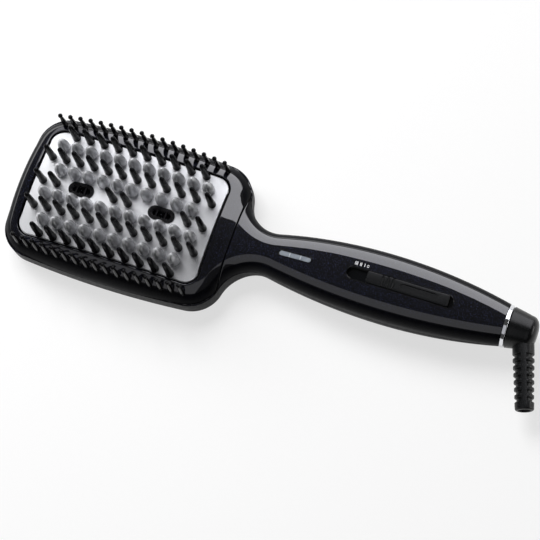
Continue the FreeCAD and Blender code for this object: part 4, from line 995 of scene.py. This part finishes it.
@dataclass
class Housing:
    """The two front mouldings and the back shell."""

    opening: Spot = (55.5, 33.0)
    opening_corner: float = 8.3
    corner_steps: int = 22
    walk_step: float = 2.5
    corner_hair: float = 0.2  # a turn to either side of the bezel's outer corner
    farthest: float = 60.0  # beyond any outer edge, where the search for it starts
    halvings: int = 48
    bezel_steps: int = 26
    rim_steps: int = 3
    seam_gap: float = 0.16
    seam_round: float = 0.55
    seam_shares: Sequence[float] = (0, 0.04, 0.12, 0.28, 0.5, 0.75, 1.0)
    rim_round: float = 0.5
    part_round: float = 0.3
    cover_step: float = 0.75
    cover_half_steps: int = 28
    tray: Point = (165.0, 61.0, 7.5)
    tray_floor: float = 27.2
    window: Point = (104.0, 20.0, 3.5)
    window_depth: float = 0.9
    rim_bead: float = 0.24
    rim_lift: float = 0.02
    least_flat: float = 0.1
    flat_steps: int = 8
    back_steps: int = 9
    screw_spots: Sequence[Point] = (
        (-58.0, 31.55, 3.0), (-58.0, -31.55, 3.0), (59.0, 32.0, 3.0), (59.0, -32.0, 3.0),
        (84.0, 0.0, 3.0), (190.0, 11.2, 5.6), (190.0, -11.2, 5.6),
    )
    screw_recess: float = 2.9
    recess_sides: int = 32
    recess_shift: float = 0.37  # keeps the ring's points off the lines of the shell's mesh
    recess_from: float = -5.0
    screw_head: float = 2.6
    screw_height: float = 1.8
    screw_slot: float = 0.7

    def seam_fall(self, x: float) -> float:
        """How far the front has rolled down into the seam line."""
        gap = abs(x - FORM.seam_x) - self.seam_gap
        if gap >= self.seam_round:
            return 0.0
        across = self.seam_round - max(gap, 0.0)
        return self.seam_round - math.sqrt(max(self.seam_round ** 2 - across ** 2, 0.0))

    def skin(self, x: float, y: float) -> float:
        """Height of the front with its seam."""
        return max(FORM.front(x, y) - self.seam_fall(x), FORM.parting + FORM.least_wall)

    def reach(self, spot: Spot, out: Spot) -> float:
        """How far it is from a spot to the bezel's outer edge in one direction."""
        near, far = 0.0, self.farthest
        for _ in range(self.halvings):
            middle = (near + far) / 2
            x, y = spot[0] + out[0] * middle, spot[1] + out[1] * middle
            inside = -FORM.tip_reach < x < FORM.seam_x - self.seam_gap and FORM.edge_distance(x, y) > 0
            near, far = (middle, far) if inside else (near, middle)
        return near

    def opening_walk(self) -> list[tuple[Spot, Spot]]:
        """Walks round the plate's opening, with a pair of spots close to each outer corner at the seam.

        Returns:
            Pairs of a spot on its edge and the outward direction there.
        """
        corner, hair = self.opening_corner, self.corner_hair
        walk: list[tuple[Spot, Spot]] = []

        def step_out(centre: Spot, degrees: float) -> None:
            out = (math.cos(math.radians(degrees)), math.sin(math.radians(degrees)))
            walk.append(((centre[0] + corner * out[0], centre[1] + corner * out[1]), out))

        centres = corner_centres((-self.opening[0], -self.opening[1]), self.opening, corner)
        seam = FORM.seam_x - self.seam_gap
        meet = math.degrees(math.atan2(FORM.half_at(seam) - centres[0][1], seam - centres[0][0]))
        close = {0: [meet - hair, meet + hair], 3: [360 - meet - hair, 360 - meet + hair]}
        for number, centre in enumerate(centres):
            turns = [90 * number + 90 * step / self.corner_steps for step in range(self.corner_steps + 1)]
            for turn in sorted(turns + close.get(number, [])):
                step_out(centre, turn)
            after = centres[(number + 1) % 4]
            pieces = int(math.dist(centre, after) / self.walk_step)
            for part in range(1, pieces):
                step_out(between(centre, after, part / pieces), 90 * (number + 1))
        return walk

    def bezel(self) -> Piece:
        """Builds the glossy frame round the plate as one closed ring."""
        columns: Rows = []
        for (x, y), out in self.opening_walk():
            span = self.reach((x, y), out)

            def at(far: float, height: Optional[float] = None) -> Point:
                there = x + out[0] * far, y + out[1] * far
                return *there, self.skin(*there) if height is None else height

            column = [at(span - self.part_round, FORM.parting), at(span, FORM.parting + self.part_round)]
            column += [
                at(span - (span - self.rim_round) * (1 - math.cos(angle)))
                for angle in quarter(self.bezel_steps)
            ]
            top = column[-1][2]
            column += [
                at(self.rim_round * (1 - math.sin(angle)), top - self.rim_round * (1 - math.cos(angle)))
                for angle in quarter(self.rim_steps)[1:]
            ]
            columns.append(column + [at(0.0, FORM.parting)])
        shape = lofted(columns, loop=True, caps=(False, False))
        return made_piece("paddle_bezel_gloss", shape, SHELL_LACQUER)

    def cover(self) -> Piece:
        """Builds the glossy neck and handle front, with the switch tray and the window sunk in."""
        start = FORM.seam_x + self.seam_gap
        stations = [start + self.seam_round * share for share in self.seam_shares]
        flat = stations[-1]
        count = int((FORM.end_x - flat) / self.cover_step)
        stations += [flat + (FORM.end_x - flat) * index / count for index in range(1, count + 1)]
        half_steps = self.cover_half_steps
        across = [math.sin(math.pi / 2 * (index / half_steps - 1)) for index in range(2 * half_steps + 1)]
        edge = FORM.parting + self.part_round
        rows: Rows = []
        for x in stations:
            half = FORM.half_at(x)
            rows.append([
                (x, -half + self.part_round, FORM.parting), (x, -half, edge),
                *((x, half * share, max(self.skin(x, half * share), edge)) for share in across),
                (x, half, edge), (x, half - self.part_round, FORM.parting),
            ])
        floors: dict[str, tuple[Point, Height]] = {
            "tray_cutter": (self.tray, level(self.tray_floor)),
            "window_cutter": (self.window, lambda x, y: FORM.front(x, 0) - self.window_depth),
        }
        cover = made_piece("handle_cover_gloss", lofted(rows), SHELL_LACQUER)
        # The cutters pass their flakeless black finish to the tray's and window's floors and walls: painted
        # shade in the recesses
        return carved(cover, [
            made_piece(name, prism(oval(*slot), floor, level(CUT_TOP)), RIM_GLOSS_AND_RECESS_SHADE)
            for name, (slot, floor) in floors.items()
        ])

    def rims(self) -> list[Piece]:
        """Lays a rolled rim round the tray and the window."""
        tree = bead_tree()
        made = []
        for name, slot in (("tray_rim", self.tray), ("window_rim", self.window)):
            spots = [(x, y, FORM.front(x, y) + self.rim_lift) for x, y in oval(*slot)]
            made.append(grown(name, tree, spots, RIM_GLOSS_AND_RECESS_SHADE, loop=True, Radius=self.rim_bead, Sides=10))
        return made

    def back(self) -> Piece:
        """Builds the back shell as sections along the outline, with its screw recesses."""
        rows: Rows = []
        for (x, y), (in_x, in_y) in FORM.side_spots():
            edge = FORM.back_edge(x)
            profile = [(self.part_round, FORM.parting), (0.0, FORM.parting - self.part_round)]
            profile += [
                (edge * (1 - math.cos(angle)), edge * (1 - math.sin(angle)))
                for angle in quarter(self.back_steps)
            ]
            left = []
            for inset, height in profile:
                spot_x, spot_y = x + in_x * inset, y + in_y * inset
                lift = FORM.belly(spot_x) if height < FORM.parting - self.part_round else 0.0
                left.append((spot_x, spot_y, min(height + lift, FORM.parting)))
            foot_x, foot_y, foot_z = left.pop()
            # A flat narrower than this would leave slivers, so its two feet become one point
            foot_y = 0.0 if foot_y < self.least_flat else foot_y
            flat = [
                (foot_x, foot_y * (1 - 2 * part / self.flat_steps), foot_z)
                for part in range(self.flat_steps + 1)
            ]
            rows.append(left + flat + [(px, -py, pz) for px, py, pz in reversed(left)])
        shell = made_piece("back_shell_gloss", lofted(rows, caps=(False, True)), SHELL_LACQUER)
        cutters = []
        for number, (x, y, seat) in enumerate(self.screw_spots):
            ring = [
                (x + self.screw_recess * math.cos(angle), y + self.screw_recess * math.sin(angle))
                for angle in around(self.recess_sides, self.recess_shift)
            ]
            shape = prism(ring, level(self.recess_from), level(seat))
            cutters.append(made_piece(f"recess_cutter_{number}", shape, SHELL_LACQUER))
        return carved(shell, cutters)

    def screws(self) -> Piece:
        """Sets the cross-slotted screws into their recesses."""
        spots = [(x, y, seat - self.screw_height / 2) for x, y, seat in self.screw_spots]
        return grown(
            "shell_screw_heads", screw_tree(), spots, SCREW_STEEL,
            Radius=self.screw_head, Height=self.screw_height, Slot=self.screw_slot,
        )

    def build(self) -> None:
        """Builds and dresses the housing."""
        fitted(self.bezel(), Body.HOUSING, ["paddle_bezel"])
        fitted(self.cover(), Body.HOUSING, ["handle_cover"])
        fitted(self.back(), Body.HOUSING, ["back_shell"])
        for rim in self.rims():
            fitted(rim, Body.HOUSING)
        fitted(self.screws(), Body.HOUSING, ["shell_screws"])


@dataclass
class HotPlate:
    """The crowned plate, its nubs, the bristles that pass through it and the ion outlets."""

    half_length: float = 54.7
    half_width: float = 32.2
    corner: float = 7.8
    corner_steps: int = 14
    thickness: float = 2.0
    edge: float = 0.5
    grid_steps: int = 20
    pitch: float = 8.9
    sunk: float = 0.4
    nub_rows: Sequence[tuple[float, int]] = ((22.5, 11), (7.5, 10), (-7.5, 11), (-22.5, 10))
    nub_height: float = 11.5
    nub_radius: float = 3.5
    nub_profile: Sequence[Spot] = (
        (0.0, 1.0), (0.2, 0.99), (0.42, 0.92), (0.62, 0.78),
        (0.78, 0.6), (0.9, 0.39), (0.97, 0.2), (1.0, 0.03),
    )
    bristle_rows: Sequence[tuple[float, int]] = ((30.0, 10), (15.0, 12), (-15.0, 12), (-30.0, 10))
    middle_row: Sequence[float] = (-5.5, -4.5, -0.5, 0.5, 4.5, 5.5)
    bristle_height: float = 18.5
    bristle_radius: float = 2.35
    bristle_profile: Sequence[Spot] = (
        (0.0, 1.0), (0.08, 1.0), (0.12, 0.93), (0.5, 0.8),
        (0.9, 0.62), (0.96, 0.52), (0.99, 0.3), (1.0, 0.03),
    )
    outlets: Sequence[float] = (-24.5, 24.5)
    outlet_length: float = 14.0
    outlet_width: float = 6.5
    outlet_from: float = 20.0
    peg_inset: float = 2.2
    peg_steps: int = 6
    peg_foot: float = 3.2
    peg_height: float = 3.0
    peg_radius: float = 0.42
    peg_profile: Sequence[Spot] = ((0.0, 1.0), (0.7, 1.0), (0.95, 0.8), (1.0, 0.1))

    def spots(self, rows: Sequence[tuple[float, int]], middle: Sequence[float] = ()) -> list[Point]:
        """Gives the plate's points where pins stand."""
        flat = [((index - (count - 1) / 2) * self.pitch, y) for y, count in rows for index in range(count)]
        flat += [(index * self.pitch, 0.0) for index in middle]
        return [(x, y, FORM.plate_height(x, y) - self.sunk) for x, y in flat]

    def half_at(self, x: float) -> float:
        """Half the plate's width at a place along it."""
        beyond = abs(x) - (self.half_length - self.corner)
        if beyond <= 0:
            return self.half_width
        return self.half_width - self.corner + math.sqrt(max(self.corner ** 2 - beyond ** 2, 0.0))

    def plate(self) -> Piece:
        """Builds the crowned plate with a rolled edge and the outlets cut through."""
        steps = self.grid_steps
        bend = self.half_length - self.corner
        ends = [bend + self.corner * math.cos(turn) for turn in quarter(self.corner_steps)[:-1]]
        straight = [bend * (1 - step / steps) for step in range(2 * steps + 1)]
        rows: Rows = []
        for x in ends + straight + [-x for x in reversed(ends)]:
            half = self.half_at(x)
            rim = FORM.plate_height(x, half)
            inner_x = x - math.copysign(self.edge, x) if abs(x) > self.half_length - self.edge else x
            top = [(inner_x, (half - self.edge) * share / steps) for share in range(-steps, steps + 1)]
            rows.append([
                (x, -half, rim - self.thickness), (x, -half, rim - self.edge),
                *((px, py, FORM.plate_height(px, py)) for px, py in top),
                (x, half, rim - self.edge), (x, half, rim - self.thickness),
            ])
        plate = made_piece("heating_plate_silver", lofted(rows), PLATE_SILVER)
        cutters = []
        for number, x in enumerate(self.outlets):
            outline = oval(x, self.outlet_length, self.outlet_width)
            shape = prism(outline, level(self.outlet_from), level(CUT_TOP))
            cutters.append(made_piece(f"outlet_cutter_{number}", shape, PLATE_SILVER))
        return carved(plate, cutters)

    def nubs(self) -> Piece:
        """Stands the egg-shaped nubs on the plate."""
        return grown(
            "plate_nubs", pin_tree("egg_nubs", self.nub_profile), self.spots(self.nub_rows), NUB_CERAMIC,
            Height=self.nub_height + self.sunk, Radius=self.nub_radius, Sides=28, Rings=20,
        )

    def bristles(self) -> Piece:
        """Stands the bristles in their rows."""
        tree = pin_tree("tapered_bristles", self.bristle_profile)
        return grown(
            "plate_bristles", tree, self.spots(self.bristle_rows, self.middle_row), BRISTLE_NYLON,
            Height=self.bristle_height + self.sunk, Radius=self.bristle_radius, Sides=20, Rings=22,
        )

    def outlet_pegs(self) -> Piece:
        """Sets short pegs round the inside of both outlets."""
        length, width = self.outlet_length - self.peg_inset, self.outlet_width - self.peg_inset
        ring = [spot for middle in self.outlets for spot in oval(middle, length, width, self.peg_steps)]
        spots = [(x, y, FORM.plate_height(x, y) - self.peg_foot) for x, y in ring]
        # The pegs are the same black nylon as the grille, drawn pale grey as a painted highlight
        return grown(
            "outlet_pegs", pin_tree("outlet_pegs", self.peg_profile), spots, PEG_PAINTED_HIGHLIGHT,
            Height=self.peg_height, Radius=self.peg_radius, Sides=10, Rings=8,
        )

    def build(self) -> None:
        """Builds and dresses the plate."""
        fitted(self.plate(), Body.HOUSING, ["heating_plate"])
        fitted(self.nubs(), Body.HOUSING)
        strips = [f"bristle_strip_{number}" for number in range(1, 5)]
        pairs = [f"bristle_pair_{place}" for place in ("front", "middle", "rear")]
        fitted(self.bristles(), Body.HOUSING, strips + pairs)
        fitted(self.outlet_pegs(), Body.HOUSING)


@dataclass
class EdgeCombs:
    """The rows of ball-tipped teeth along both long edges."""

    inset: float = 5.4
    middle: float = -0.6
    count: int = 17
    pitch: float = 6.3
    rise: float = 14.1
    radius: float = 1.55
    sunk: float = 2.4
    profile: Sequence[Spot] = (
        (0.0, 1.0), (0.25, 0.97), (0.6, 0.74), (0.82, 0.6), (0.855, 0.66), (0.885, 0.8), (0.92, 0.86),
        (0.95, 0.8), (0.975, 0.62), (0.992, 0.36), (1.0, 0.05),
    )

    def build(self) -> None:
        """Stands the teeth on the bezel."""
        tree = pin_tree("ball_tipped_teeth", self.profile)
        for side, name in ((1, "edge_comb_left"), (-1, "edge_comb_right")):
            spots = []
            for index in range(self.count):
                x = self.middle + (index - (self.count - 1) / 2) * self.pitch
                y = FORM.comb_line(x, self.inset)
                spots.append((x, side * y, FORM.crown(x, y) - self.sunk))
            teeth = grown(
                f"{name}_teeth", tree, spots, COMB_NYLON,
                Height=self.rise + self.sunk, Radius=self.radius, Sides=14, Rings=26,
            )
            fitted(teeth, Body.HOUSING, [name])


@dataclass
class Controls:
    """The slide switch, its position marks and the indicator window."""

    slider_low: Point = (146.0, -3.4, 27.4)
    slider_high: Point = (193.0, 3.4, 30.4)
    slider_corner: float = 1.1
    slider_edge: float = 0.45
    panel_low: Spot = (165.3, -1.9)
    panel_high: Spot = (186.3, 1.9)
    panel_corner: float = 1.4
    panel_depth: float = 0.5
    panel_clear: float = 3.0
    ridge_x: float = 155.0
    ridge_pitch: float = 3.0
    ridge_count: int = 3
    ridge_length: float = 6.0
    ridge_radius: float = 0.75
    mark_places: Sequence[tuple[float, int]] = ((138.3, 3), (140.9, 2), (143.1, 1), (145.0, 0))
    mark_y: float = 5.8
    mark_height: float = 1.9
    mark_stroke: float = 0.36
    mark_spacing: float = 1.75
    mark_lift: float = 0.03
    nought_width: float = 0.6
    nought_sides: int = 20
    lens_x: float = 104.0
    lens_length: float = 18.6
    lens_width: float = 2.6
    lens_sunk: float = 0.4
    lens_foot: float = 1.2
    lens_pitch: float = 6.4
    rib_length: float = 2.4
    rib_radius: float = 0.3
    rib_sunk: float = 0.12

    def slider(self) -> Piece:
        """Builds the thumb piece with its long sunk panel."""
        block = soft_block(self.slider_low, self.slider_high, self.slider_corner, self.slider_edge)
        slider = made_piece("switch_slider_body", block, SLIDER_ABS)
        floor = self.slider_high[2] - self.panel_depth
        outline = rounded_outline(self.panel_low, self.panel_high, self.panel_corner)
        panel = prism(outline, level(floor), level(floor + self.panel_clear))
        return carved(slider, [made_piece("panel_cutter", panel, SLIDER_ABS)])

    def ridges(self) -> Piece:
        """Lays the grip ridges across the slider, half sunk into its top."""
        places = [self.ridge_x + self.ridge_pitch * number for number in range(self.ridge_count)]
        return grown(
            "switch_slider_ridges", bar_tree(), [(x, 0.0, self.slider_high[2]) for x in places], SLIDER_ABS,
            Length=self.ridge_length, Radius=self.ridge_radius, Sides=20,
        )

    def marks(self) -> Piece:
        """Prints the four switch positions beside the tray: three strokes, two, one and a ring."""
        half, stroke = self.mark_height / 2, self.mark_stroke
        patches: list[list[Spot]] = []
        for x, strokes in self.mark_places:
            for number in range(strokes):
                left = x + (number - (strokes - 1) / 2) * stroke * self.mark_spacing - stroke / 2
                corners = ((0.0, -half), (stroke, -half), (stroke, half), (0.0, half))
                patches.append([(left + across, self.mark_y + up) for across, up in corners])
            if not strokes:
                turns = around(self.nought_sides) + [2 * math.pi]
                for first, second in zip(turns, turns[1:]):
                    ends = ((half - stroke, first), (half, first), (half, second), (half - stroke, second))
                    patches.append([
                        (x + reach * self.nought_width * math.cos(turn), self.mark_y + reach * math.sin(turn))
                        for reach, turn in ends
                    ])
        points = [(x, y, FORM.front(x, y) + self.mark_lift) for patch in patches for x, y in patch]
        faces = [tuple(range(first, first + 4)) for first in range(0, len(points), 4)]
        return made_piece("switch_position_marks", (points, faces), MARK_INK)

    def lens(self) -> Piece:
        """Builds the smoked window, sunk below the front."""
        shape = prism(
            oval(self.lens_x, self.lens_length, self.lens_width),
            lambda x, y: FORM.front(x, 0) - self.lens_foot,
            lambda x, y: FORM.front(x, y) - self.lens_sunk,
        )
        return made_piece("indicator_window", shape, LENS_SMOKE)

    def lens_ribs(self) -> Piece:
        """Lays the bright ribs that part the window's three segments."""
        places = [self.lens_x + side * self.lens_pitch / 2 for side in (-1, 1)]
        spots = [(x, 0.0, FORM.front(x, 0) - self.lens_sunk - self.rib_sunk) for x in places]
        return grown(
            "indicator_window_ribs", bar_tree(), spots, LENS_CLEAR,
            Length=self.rib_length, Radius=self.rib_radius, Sides=12,
        )

    def build(self) -> None:
        """Builds and dresses the controls."""
        fitted(self.slider(), Body.SWITCH, ["switch_slider"])
        fitted(self.ridges(), Body.SWITCH)
        fitted(self.marks(), Body.HOUSING)
        fitted(self.lens(), Body.HOUSING, ["indicator_lens"])
        fitted(self.lens_ribs(), Body.HOUSING)


@dataclass
class CordEnd:
    """The bright ring, the swivelling cap and the ribbed boot."""

    axis_height: float = 15.0
    sides: int = 96
    hub: float = 0.5
    ring_radius: float = 12.0
    ring_bore: float = 8.5
    ring_round: float = 0.5
    cap_mouth: float = 11.6
    cap_lip: Sequence[Spot] = ((0.0, 0.4), (0.12, 0.12), (0.4, 0.0))
    cap_end: float = 9.6
    cap_bulge: float = 1.15
    cap_steps: int = 12
    cap_dome: float = 5.3
    dome_steps: int = 14
    dome_bulge: float = 0.7
    dome_tip: float = 0.02
    boot_root: float = 234.8
    boot_lean: float = 18.2
    boot_foot: float = 6.0
    boot_collar: float = 13.6
    boot_reach: float = 44.3
    boot_wide: float = 6.0
    boot_narrow: float = 5.2
    boot_round: float = 1.2
    round_steps: int = 6
    boot_edge: float = 0.3
    boot_sides: int = 64
    bore: float = 3.3
    bore_edge: float = 0.2
    bore_from: float = 12.0
    groove_count: int = 7
    groove_pitch: float = 4.03
    groove_width: float = 2.06
    groove_depth: float = 1.1
    rib_sunk: float = 0.2
    spine_half: float = 1.5
    spine_sunk: float = 0.3
    spine_spare: float = 1.0
    spine_steps: int = 12
    spine_sides: int = 8

    def ring(self) -> Piece:
        """Turns the bright ring, with soft edges."""
        low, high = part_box("trim_ring")
        start, end = low.x / MM, high.x / MM
        wide, soft = self.ring_radius, self.ring_round
        profile = [(start, self.ring_bore), (start, wide - soft)]
        profile += [
            (start + soft * (1 - math.cos(a)), wide - soft * (1 - math.sin(a)))
            for a in quarter(EDGE_STEPS)[1:]
        ]
        profile += [
            (end - soft * (1 - math.sin(a)), wide - soft * (1 - math.cos(a))) for a in quarter(EDGE_STEPS)
        ]
        profile.append((end, self.ring_bore))
        return made_piece("trim_ring_chrome", turned(profile, self.sides, self.axis_height), RING_CHROME)

    def cap(self) -> Piece:
        """Turns the tapering cap with its rounded end."""
        low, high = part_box("end_cap")
        start, end = low.x / MM, high.x / MM
        edge, mouth = end - self.cap_dome, self.cap_mouth
        profile = [(start, self.hub)] + [(start + along, mouth - inset) for along, inset in self.cap_lip]
        for step in range(1, self.cap_steps + 1):
            share = step / self.cap_steps
            radius = mouth + (self.cap_end - mouth) * share ** self.cap_bulge
            profile.append((start + (edge - start) * share, radius))
        for angle in quarter(self.dome_steps)[1:]:
            radius = max(self.cap_end * math.cos(angle) ** self.dome_bulge, self.dome_tip)
            profile.append((edge + self.cap_dome * math.sin(angle), radius))
        return made_piece("end_cap_satin", turned(profile, self.sides, self.axis_height), CAP_ABS)

    def boot_place(self) -> Matrix:
        """Gives the place of the boot, whose own length runs along Z from the cap's axis."""
        lean = math.radians(self.boot_lean)
        along = Vector((math.sin(lean), -math.cos(lean), 0.0))
        up = Vector((0.0, 0.0, 1.0))
        turn = Matrix((up.cross(along), up, along)).transposed().to_4x4()
        return Matrix.Translation((self.boot_root * MM, 0.0, self.axis_height * MM)) @ turn

    def radius_at(self, along: float) -> float:
        """The boot's outer radius at a distance from the cap's axis."""
        share = (along - self.boot_collar) / (self.boot_reach - self.boot_collar)
        return self.boot_wide + (self.boot_narrow - self.boot_wide) * min(max(share, 0.0), 1.0)

    def boot_core(self) -> Piece:
        """Turns the boot's collar, slim core and bored end."""
        collar, reach, wide, narrow = self.boot_collar, self.boot_reach, self.boot_wide, self.boot_narrow
        edge, soft, slim = self.boot_edge, self.boot_round, self.groove_depth
        last = collar + (self.groove_count - 1) * self.groove_pitch + self.groove_width
        ending = self.radius_at(last)
        profile = [
            (self.boot_foot, self.hub), (self.boot_foot, wide), (collar - edge, wide), (collar, wide - edge),
            (collar, wide - slim), (last, ending - slim), (last, ending - edge), (last + edge, ending),
            (reach - soft, narrow),
        ]
        profile += [
            (reach - soft * (1 - math.sin(a)), narrow - soft * (1 - math.cos(a)))
            for a in quarter(self.round_steps)[1:]
        ]
        profile += [
            (reach, self.bore + self.bore_edge), (reach - edge, self.bore), (self.bore_from, self.bore),
            (self.bore_from, self.hub),
        ]
        points, faces = turned(profile, self.boot_sides)
        piece = made_piece("strain_relief_core", ([(-z, y, x) for x, y, z in points], faces), BOOT_RUBBER)
        piece.data.transform(self.boot_place())
        return piece

    def boot_ribs(self) -> Piece:
        """Threads the ribs on the boot, a little sunk into its core."""
        first = self.boot_collar + self.groove_width
        width = self.groove_pitch - self.groove_width
        depth = self.groove_depth + self.rib_sunk
        middle = self.radius_at(first + width / 2) - depth / 2
        fall = (self.radius_at(first) - self.radius_at(first + self.groove_pitch)) / middle
        ribs = grown(
            "strain_relief_ribs", rib_tree(fall), [(0.0, 0.0, 0.0)], BOOT_RUBBER,
            Count=self.groove_count - 1, Pitch=self.groove_pitch, Radius=middle, Width=width, Depth=depth,
        )
        ribs.data.transform(self.boot_place() @ Matrix.Translation((0.0, 0.0, (first + width / 2) * MM)))
        return ribs

    def boot_spines(self) -> Piece:
        """Lays the two straight spines that join the ribs along the boot's front and back."""
        start = self.boot_collar - self.spine_spare
        length = self.boot_reach - 2 * self.spine_spare - self.boot_collar
        points: list[Point] = []
        faces: list[tuple[int, ...]] = []
        for side in (1, -1):
            rows: Rows = []
            for along in [start + length * step / self.spine_steps for step in range(self.spine_steps + 1)]:
                outer = self.radius_at(along)
                inner = outer - self.groove_depth - self.spine_sunk
                corners = [(outer, step) for step in range(self.spine_sides + 1)]
                row = []
                for radius, step in corners + [(inner, self.spine_sides), (inner, 0)]:
                    angle = (step / self.spine_sides - 0.5) * 2 * self.spine_half / outer
                    row.append((radius * math.sin(angle), side * radius * math.cos(angle), along))
                rows.append(row)
            strip_points, strip_faces = lofted(rows)
            faces += [tuple(len(points) + number for number in face) for face in strip_faces]
            points += strip_points
        piece = made_piece("strain_relief_spines", (points, faces), BOOT_RUBBER)
        piece.data.transform(self.boot_place())
        return piece

    def build(self) -> None:
        """Builds and dresses the cord end."""
        fitted(self.ring(), Body.HOUSING, ["trim_ring"])
        fitted(self.cap(), Body.CORD_END, ["end_cap"])
        fitted(self.boot_core(), Body.CORD_END, ["strain_relief"])
        fitted(self.boot_ribs(), Body.CORD_END)
        fitted(self.boot_spines(), Body.CORD_END)


# ---------------------------------------------------------------- studio


WHITE = (1.0, 1.0, 1.0)
COOL = (0.95, 0.95, 1.0)


@dataclass
class SoftBox:
    """A rectangular studio lamp that looks at the brush."""

    name: str
    place: Point
    width: float
    height: float
    watts: float
    colour: Point = WHITE
    mirrored: bool = True
    lights_matte: bool = True
    aim: Point = (0.09, 0.0, 0.02)

    def build(self) -> None:
        """Hangs the lamp."""
        lamp = bpy.data.lights.new(self.name, "AREA")
        lamp.shape = "RECTANGLE"
        lamp.size, lamp.size_y = self.width, self.height
        lamp.energy = self.watts
        lamp.color = self.colour
        hung = put_in_scene(self.name, lamp)
        hung.location = self.place
        heading = Vector(self.aim) - Vector(self.place)
        hung.rotation_euler = heading.to_track_quat("-Z", "Y").to_euler()
        hung.visible_glossy = self.mirrored
        hung.visible_diffuse = self.lights_matte


@dataclass
class Studio:
    """The pale floor, the soft lamps and the camera."""

    eye: Point = (0.31031, -0.25885, 0.99373)
    right: Point = (0.93465, 0.33303, -0.12456)
    up: Point = (-0.28513, 0.91131, 0.29701)
    lens_mm: float = 123.33
    sensor_mm: float = 36.0
    nearest: float = 0.01
    floor_half: float = 3.0
    floor_drop: float = 0.0004
    floor_glow: float = 0.68
    fibre_scale: float = 400.0
    fibre_tones: tuple[str, str] = ("#fafafb", "#fdfdfd")
    sky: float = 0.06
    # Broad mirrored boxes draw the long lights on the lacquer, and two unmirrored ones light the matte pieces
    lamps: Sequence[SoftBox] = (
        SoftBox(
            "far_softbox", (0.1, 1.055, 0.78), 1.7, 1.55, 28.0, COOL, lights_matte=False,
            aim=(0.1, 0.0, 0.02),
        ),
        SoftBox(
            "left_softbox", (-1.1, 1.055, 0.78), 0.7, 1.55, 4.5, COOL, lights_matte=False,
            aim=(-1.1, 0.0, 0.02),
        ),
        SoftBox(
            "near_softbox", (-0.25, -0.764, 1.07), 2.0, 1.16, 3.4, COOL, lights_matte=False,
            aim=(-0.25, 0.0, 0.02),
        ),
        SoftBox("right_strip", (1.34, 0.33, 0.29), 0.8, 0.2, 3.5, lights_matte=False),
        SoftBox("key_softbox", (-0.42, 0.56, 1.07), 0.7, 0.7, 15.5, mirrored=False),
        SoftBox("fill_softbox", (-0.95, 0.4, 0.66), 0.6, 0.6, 9.0, mirrored=False),
    )

    def camera(self) -> None:
        """Stands the camera where the photographer stood."""
        back = Vector(self.right).cross(Vector(self.up)).normalized()
        up = back.cross(Vector(self.right)).normalized()
        data = bpy.data.cameras.new("camera")
        data.lens = self.lens_mm
        data.sensor_width = self.sensor_mm
        data.sensor_fit = "HORIZONTAL"
        data.clip_start = self.nearest
        stood = put_in_scene("camera", data)
        turn = Matrix((up.cross(back), up, back)).transposed().to_4x4()
        stood.matrix_world = Matrix.Translation(self.eye) @ turn
        bpy.context.scene.camera = stood

    def paper(self) -> bpy.types.Material:
        """Makes the floor's matte paper, which glows a little so that it reads white and keeps the shadow."""
        paint = bpy.data.materials.new("matte_white_paper")
        tree = bare_tree(paint)
        place = out_of(tree, "ShaderNodeTexCoord", output="Object")
        fibre = out_of(tree, "ShaderNodeTexNoise", {"Vector": place, "Scale": self.fibre_scale})
        tone = blended(tree, fibre, *(linear(code) for code in self.fibre_tones))
        matte = out_of(tree, "ShaderNodeBsdfDiffuse", {"Color": tone})
        glow = out_of(tree, "ShaderNodeEmission", {"Color": (*WHITE, 1.0), "Strength": 1.0})
        rays = add_node(tree, "ShaderNodeLightPath").outputs
        seen = maths(tree, "MAXIMUM", rays["Is Camera Ray"], rays["Is Glossy Ray"])
        seen = maths(tree, "MAXIMUM", seen, rays["Is Transmission Ray"])
        share = maths(tree, "MULTIPLY", seen, self.floor_glow)
        mixed = out_of(tree, "ShaderNodeMixShader", {0: share, 1: matte, 2: glow})
        add_node(tree, "ShaderNodeOutputMaterial", {"Surface": mixed})
        return paint

    def floor(self) -> None:
        """Lays the pale floor."""
        half = self.floor_half
        mesh = bpy.data.meshes.new("studio_floor")
        corners = [(-half, -half), (half, -half), (half, half), (-half, half)]
        mesh.from_pydata([(x, y, -self.floor_drop) for x, y in corners], [], [(0, 1, 2, 3)])
        mesh.materials.append(self.paper())
        laid = put_in_scene("studio_floor", mesh)

    def world(self) -> None:
        """Sets the even light of the room."""
        world = bpy.data.worlds.new("studio")
        tree = bare_tree(world)
        sky = out_of(tree, "ShaderNodeBackground", {"Color": (*WHITE, 1.0), "Strength": self.sky})
        add_node(tree, "ShaderNodeOutputWorld", {"Surface": sky})
        bpy.context.scene.world = world

    def build(self) -> None:
        """Sets up the studio."""
        bpy.context.scene.view_settings.view_transform = "Standard"
        self.camera()
        self.floor()
        self.world()
        for lamp in self.lamps:
            lamp.build()


def dress_inside() -> None:
    """Gives every CAD node that stays the finish of its record slot."""
    for name, node in frame["nodes"].items():
        if node.hide_render:
            continue
        for slot in node.material_slots:
            slot.material = INSIDE[slot.material.name.split(".")[0]].material()
        LOG.info("%s: kept from the CAD model", name)


def main() -> None:
    """Builds the brush and its studio."""
    logging.basicConfig(level=logging.INFO, format="%(message)s")
    Studio().build()
    Housing().build()
    HotPlate().build()
    EdgeCombs().build()
    Controls().build()
    CordEnd().build()
    dress_inside()


if __name__ == "__main__":
    main()
